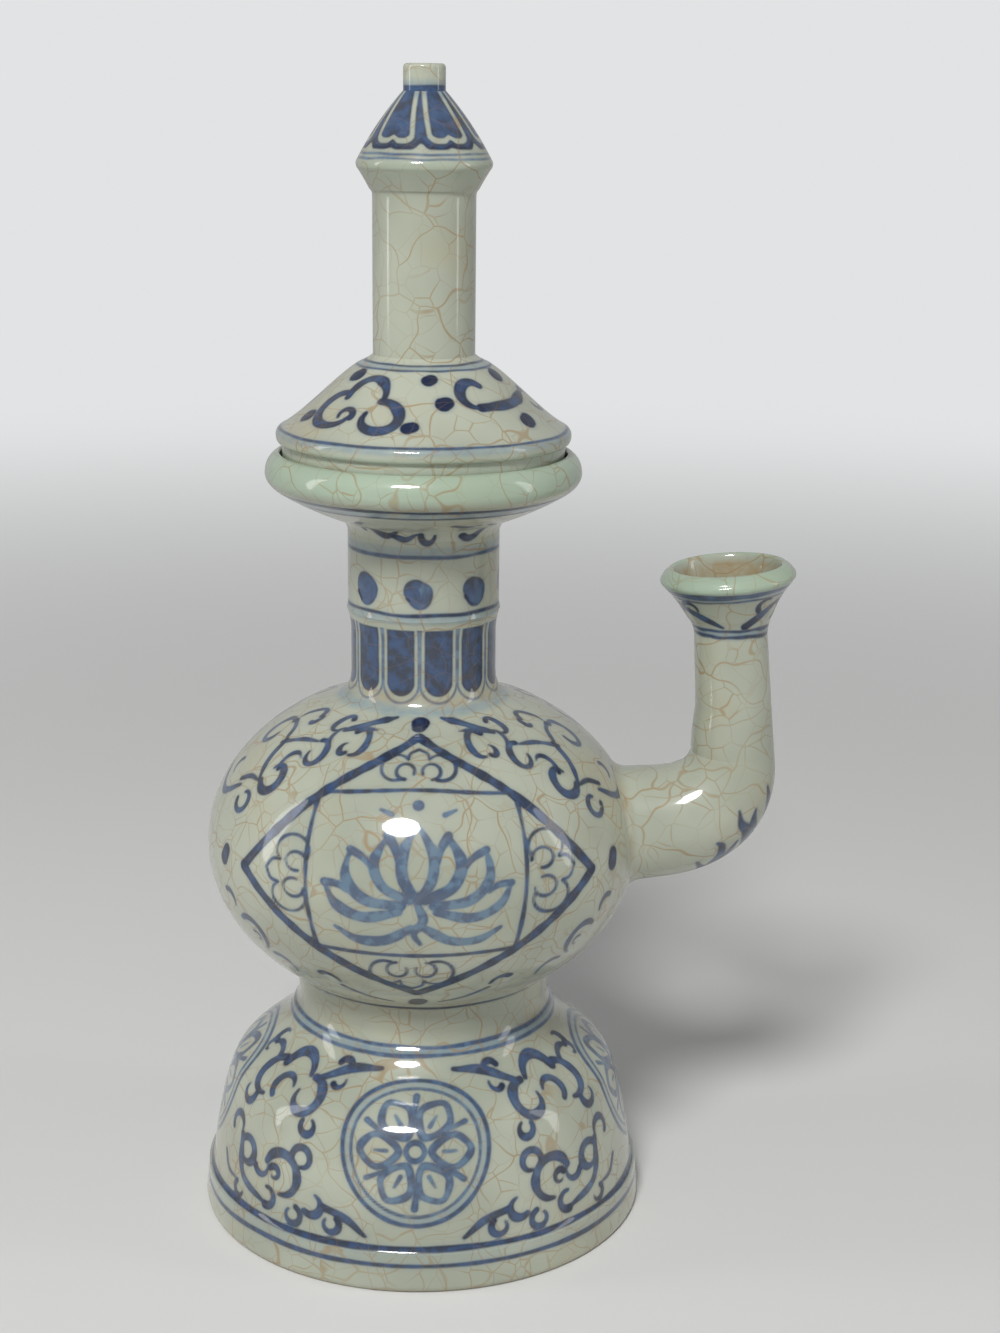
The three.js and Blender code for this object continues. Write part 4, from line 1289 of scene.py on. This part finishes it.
def throw(name, outline, sides, finish):
    # A finished mesh object from its rings
    rows = outline.rows
    mesh = bpy.data.meshes.new(name)
    centres = [((row.get("x", 0) + axisX) * mm, 0, row["height"] * mm) for row in rows]
    mesh.from_pydata(centres, [], [])
    for attribute, scale in (("radius", mm), ("lean", 1), ("web", mm)):
        values = mesh.attributes.new(attribute, "FLOAT", "POINT")
        values.data.foreach_set("value", [row.get(attribute, 0) * scale for row in rows])
    source = bpy.data.objects.new(name, mesh)
    bpy.context.scene.collection.objects.link(source)
    modifier = source.modifiers.new("rings", "NODES")
    modifier.node_group = rings
    inputs = {item.name: item.identifier for item in rings.interface.items_tree if item.in_out == "INPUT"}
    modifier[inputs["Sides"]] = sides
    modifier[inputs["Unevenness"]] = unevenness
    modifier[inputs["Finish"]] = finishes[finish]
    evaluated = source.evaluated_get(bpy.context.evaluated_depsgraph_get())
    made = bpy.data.meshes.new_from_object(evaluated)
    source.modifiers.clear()
    source.data = made
    made.name = name
    bpy.data.meshes.remove(mesh)
    return finished(source)


def weave(name, outline, finish):
    # A mesh object from rings whose points are given: the arm, whose first rings follow the globe
    count, sides, _ = outline.points.shape
    points = outline.points.reshape(-1, 3) + (axisX, 0, 0)
    faces = []
    for i in range(count):
        low, high = i * sides, (i + 1) % count * sides
        faces += [(low + j, low + (j + 1) % sides, high + (j + 1) % sides, high + j) for j in range(sides)]
    mesh = bpy.data.meshes.new(name)
    mesh.from_pydata((points * mm).tolist(), [], faces)
    mesh.materials.append(finishes[finish])
    ring = mesh.attributes.new("ring", "FLOAT", "POINT")
    ring.data.foreach_set("value", np.repeat(np.arange(count, dtype=np.float32), sides))
    source = bpy.data.objects.new(name, mesh)
    bpy.context.scene.collection.objects.link(source)
    return finished(source)


def faceOut(mesh):
    # A closed skin that encloses a negative volume is turned inside out
    points = np.empty(len(mesh.vertices) * 3)
    mesh.vertices.foreach_get("co", points)
    points = points.reshape(-1, 3)
    mesh.calc_loop_triangles()
    corners = np.empty(len(mesh.loop_triangles) * 3, int)
    mesh.loop_triangles.foreach_get("vertices", corners)
    a, b, c = points[corners.reshape(-1, 3)].transpose(1, 0, 2)
    volume = np.einsum("ij,ij->i", a, np.cross(b, c)).sum() / 6
    if volume < 0:
        mesh.flip_normals()


def coat(piece, outline):
    # Gives each vertex its ink, tone, wash and marks, from its ring and its azimuth
    mesh = piece.data
    ring = np.empty(len(mesh.vertices), np.float32)
    mesh.attributes["ring"].data.foreach_get("value", ring)
    index = np.arange(len(outline.rows))

    def ofRow(name):
        return np.interp(ring, index, [row.get(name, 0) for row in outline.rows])

    levels = {name: ofRow(name) for name in ("celadon", "stain", "bare")}
    levels["ink"], levels["tone"], levels["wash"] = np.full_like(ring, -2), np.zeros_like(ring), np.zeros_like(ring)
    if outline.skin:
        skin = outline.skin
        if hasattr(outline, "points"):
            sides = outline.points.shape[1]
            azimuth = np.tile(np.arange(sides) * 360 / sides + 90, len(outline.rows))
        else:
            points = np.empty(len(mesh.vertices) * 3)
            mesh.vertices.foreach_get("co", points)
            x, y, z = points.reshape(-1, 3).T / mm
            lean = ofRow("lean")
            across = (x - axisX - ofRow("x")) * np.cos(lean) + (z - ofRow("height")) * np.sin(lean)
            azimuth = np.degrees(np.arctan2(y, across)) + 90
        first, last = outline.shown
        row = np.clip(ring, first, last) + outline.shift
        column = azimuth % 360 * skin.columns / 360
        r0, c0 = np.floor(row).astype(int), np.floor(column).astype(int)
        downRow, downColumn = row - r0, column - c0
        r1, c0 = np.minimum(r0 + 1, len(skin.along) - 1), c0 % skin.columns
        c1 = (c0 + 1) % skin.columns
        shown = (ring > first - 0.01) & (ring < last + 0.01)

        def sampled(level):
            low = level[r0, c0] * (1 - downColumn) + level[r0, c1] * downColumn
            high = level[r1, c0] * (1 - downColumn) + level[r1, c1] * downColumn
            return low * (1 - downRow) + high * downRow

        levels["ink"] = np.where(shown, sampled(skin.ink), -2)
        levels["tone"], levels["wash"] = sampled(skin.tone), np.where(shown, sampled(skin.wash), 0)
        levels["stain"] = np.maximum(levels["stain"], np.where(shown, sampled(skin.stain), 0))
        levels["celadon"] = np.maximum(levels["celadon"], np.where(shown, sampled(skin.celadon), 0))
    for name, values in levels.items():
        level = mesh.attributes.new(name, "FLOAT", "POINT")
        level.data.foreach_set("value", values.astype(np.float32))


outlines = {
    "bell_foot": footOutline(),
    "waist_collar": waistOutline(),
    "lower_bowl": lowerBowlOutline(),
    "upper_bowl": upperBowlOutline(),
    "lower_neck": lowerNeckOutline(),
    "upper_neck": upperNeckOutline(),
    "dish_mouth": dishOutline(),
    "spout_arm": armRings(),
    "spout_riser": riserRings(),
    "spout_cup": cupRings(),
    "cover_ring": ringOutline(),
    "cover_dome": domeOutline(),
    "cover_tube": tubeOutline(),
    "cover_cap": capOutline(),
    "cover_nozzle": nozzleOutline(),
}
vesselChain = ("bell_foot", "waist_collar", "lower_bowl", "upper_bowl", "lower_neck", "upper_neck", "dish_mouth")
coverChain = ("cover_dome", "cover_tube", "cover_cap", "cover_nozzle")
vesselSkin = Skin(*(outlines[name] for name in vesselChain))
coverSkin = Skin(*(outlines[name] for name in coverChain), start=0.4)
armSkin = Skin(outlines["spout_arm"])
cupSkin = Skin(outlines["spout_cup"])
paintGlobe(vesselSkin)
paintFoot(vesselSkin)
paintNeck(vesselSkin)
paintDish(vesselSkin)
paintCover(coverSkin)
paintArm(armSkin)
paintCup(cupSkin)
print("skins painted")

pieces = [
    ("bell_foot", foot["sides"], "painted_glaze", "vessel"),
    ("waist_collar", waist["sides"], "plain_glaze", "vessel"),
    ("lower_bowl", globe["sides"], "painted_glaze", "vessel"),
    ("upper_bowl", globe["sides"], "painted_glaze", "vessel"),
    ("lower_neck", neck["sides"], "painted_glaze", "vessel"),
    ("upper_neck", neck["sides"], "painted_glaze", "vessel"),
    ("dish_mouth", dish["sides"], "celadon_glaze", "vessel"),
    ("spout_arm", spout["sides"], "plain_glaze", "vessel"),
    ("spout_riser", spout["sides"], "plain_glaze", "vessel"),
    ("spout_cup", spout["sides"], "celadon_glaze", "vessel"),
    ("cover_ring", cover["sides"], "plain_glaze", "cover"),
    ("cover_dome", cover["sides"], "painted_glaze", "cover"),
    ("cover_tube", cap["sides"], "plain_glaze", "cover"),
    ("cover_cap", cap["sides"], "painted_glaze", "cover"),
    ("cover_nozzle", 160, "plain_glaze", "cover"),
]

for name, sides, finish, body in pieces:
    outline = outlines[name]
    if name == "spout_arm":
        piece = weave("glazed_" + name, outline, finish)
    else:
        piece = throw("glazed_" + name, outline, sides, finish)
    coat(piece, outline)
    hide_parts(name)
    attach(piece, body)
    print(name, len(piece.data.polygons), "faces")


stage = {
    "reach": 4,
    "bendStart": 1.1,
    "bend": 1.2,
    "top": 4,
    "colour": rgb(222, 222, 220),
    "backdrop": rgb(226, 227, 228),
}


def makeStage():
    # a floor that curves up into a backdrop far behind the pot
    profile = [(-stage["reach"], 0), (stage["bendStart"], 0)]
    for i in range(1, 25):
        turn = i / 24 * pi / 2
        profile.append((stage["bendStart"] + stage["bend"] * sin(turn), stage["bend"] * (1 - cos(turn))))
    profile.append((stage["bendStart"] + stage["bend"], stage["top"]))
    points = [(x, y, z) for y, z in profile for x in (-stage["reach"], stage["reach"])]
    faces = [(i, i + 1, i + 3, i + 2) for i in range(0, len(points) - 2, 2)]
    floorMesh = bpy.data.meshes.new("floor")
    floorMesh.from_pydata(points, [], faces)
    floorMesh.shade_smooth()
    floorObject = bpy.data.objects.new("floor", floorMesh)
    bpy.context.scene.collection.objects.link(floorObject)
    material = bpy.data.materials.new("floor")
    material.use_nodes = True
    tree = material.node_tree
    shader = tree.nodes["Principled BSDF"]
    shader.inputs["Base Color"].default_value = stage["colour"]
    shader.inputs["Roughness"].default_value = 0.9
    shader.inputs["Specular IOR Level"].default_value = 0.1
    # far from the pot the floor turns into the even pale backdrop, for the camera
    start = Wire(tree)
    place = start.node("ShaderNodeTexCoord", out=3)
    distance = start.node("ShaderNodeVectorMath", {"operation": "LENGTH"}, {0: place}, 1)
    path = start.node("ShaderNodeLightPath")
    seen = path.atLeast(path.also(3) * 0.3).atLeast(path.also(6)) * distance.rise(0.3, 1.3)
    plain = start.node("ShaderNodeEmission", {}, {"Color": stage["backdrop"], "Strength": 1.0})
    both = start.node("ShaderNodeMixShader", {}, {0: seen, 1: Wire(tree, shader.outputs[0]), 2: plain})
    tree.links.new(both.socket, tree.nodes["Material Output"].inputs["Surface"])
    floorMesh.materials.append(material)


lamps = {
    "key": {"place": (-0.25, -0.99, 1.2), "size": (0.44, 0.34), "power": 17},
    "left": {"place": (-1.3, -0.1, 0.55), "size": (0.22, 1.1), "power": 2.5},
    "right": {"place": (1.3, -0.2, 0.55), "size": (0.22, 1.1), "power": 2},
}


def makeLights():
    world = bpy.data.worlds.new("studio")
    bpy.context.scene.world = world
    world.use_nodes = True
    start = Wire(world.node_tree)
    light = start.node("ShaderNodeBackground", {}, {"Color": rgb(225, 226, 228), "Strength": 0.3})
    seen = start.node("ShaderNodeBackground", {}, {"Color": stage["backdrop"], "Strength": 1.0})
    path = start.node("ShaderNodeLightPath")
    direct = path.atLeast(path.also(3) * 0.3).atLeast(path.also(6))
    both = start.node("ShaderNodeMixShader", {}, {0: direct, 1: light, 2: seen})
    world.node_tree.links.new(both.socket, world.node_tree.nodes["World Output"].inputs["Surface"])
    aim = Vector((axisX * mm, 0, 0.12))
    for name, lamp in lamps.items():
        data = bpy.data.lights.new(name, "AREA")
        data.shape = "ELLIPSE"
        data.size, data.size_y = lamp["size"]
        data.energy = lamp["power"]
        lampObject = bpy.data.objects.new(name, data)
        lampObject.location = Vector(lamp["place"])
        lampObject.rotation_euler = (aim - lampObject.location).to_track_quat("-Z", "Y").to_euler()
        bpy.context.scene.collection.objects.link(lampObject)


makeStage()
makeLights()
bpy.context.scene.view_settings.view_transform = "Standard"
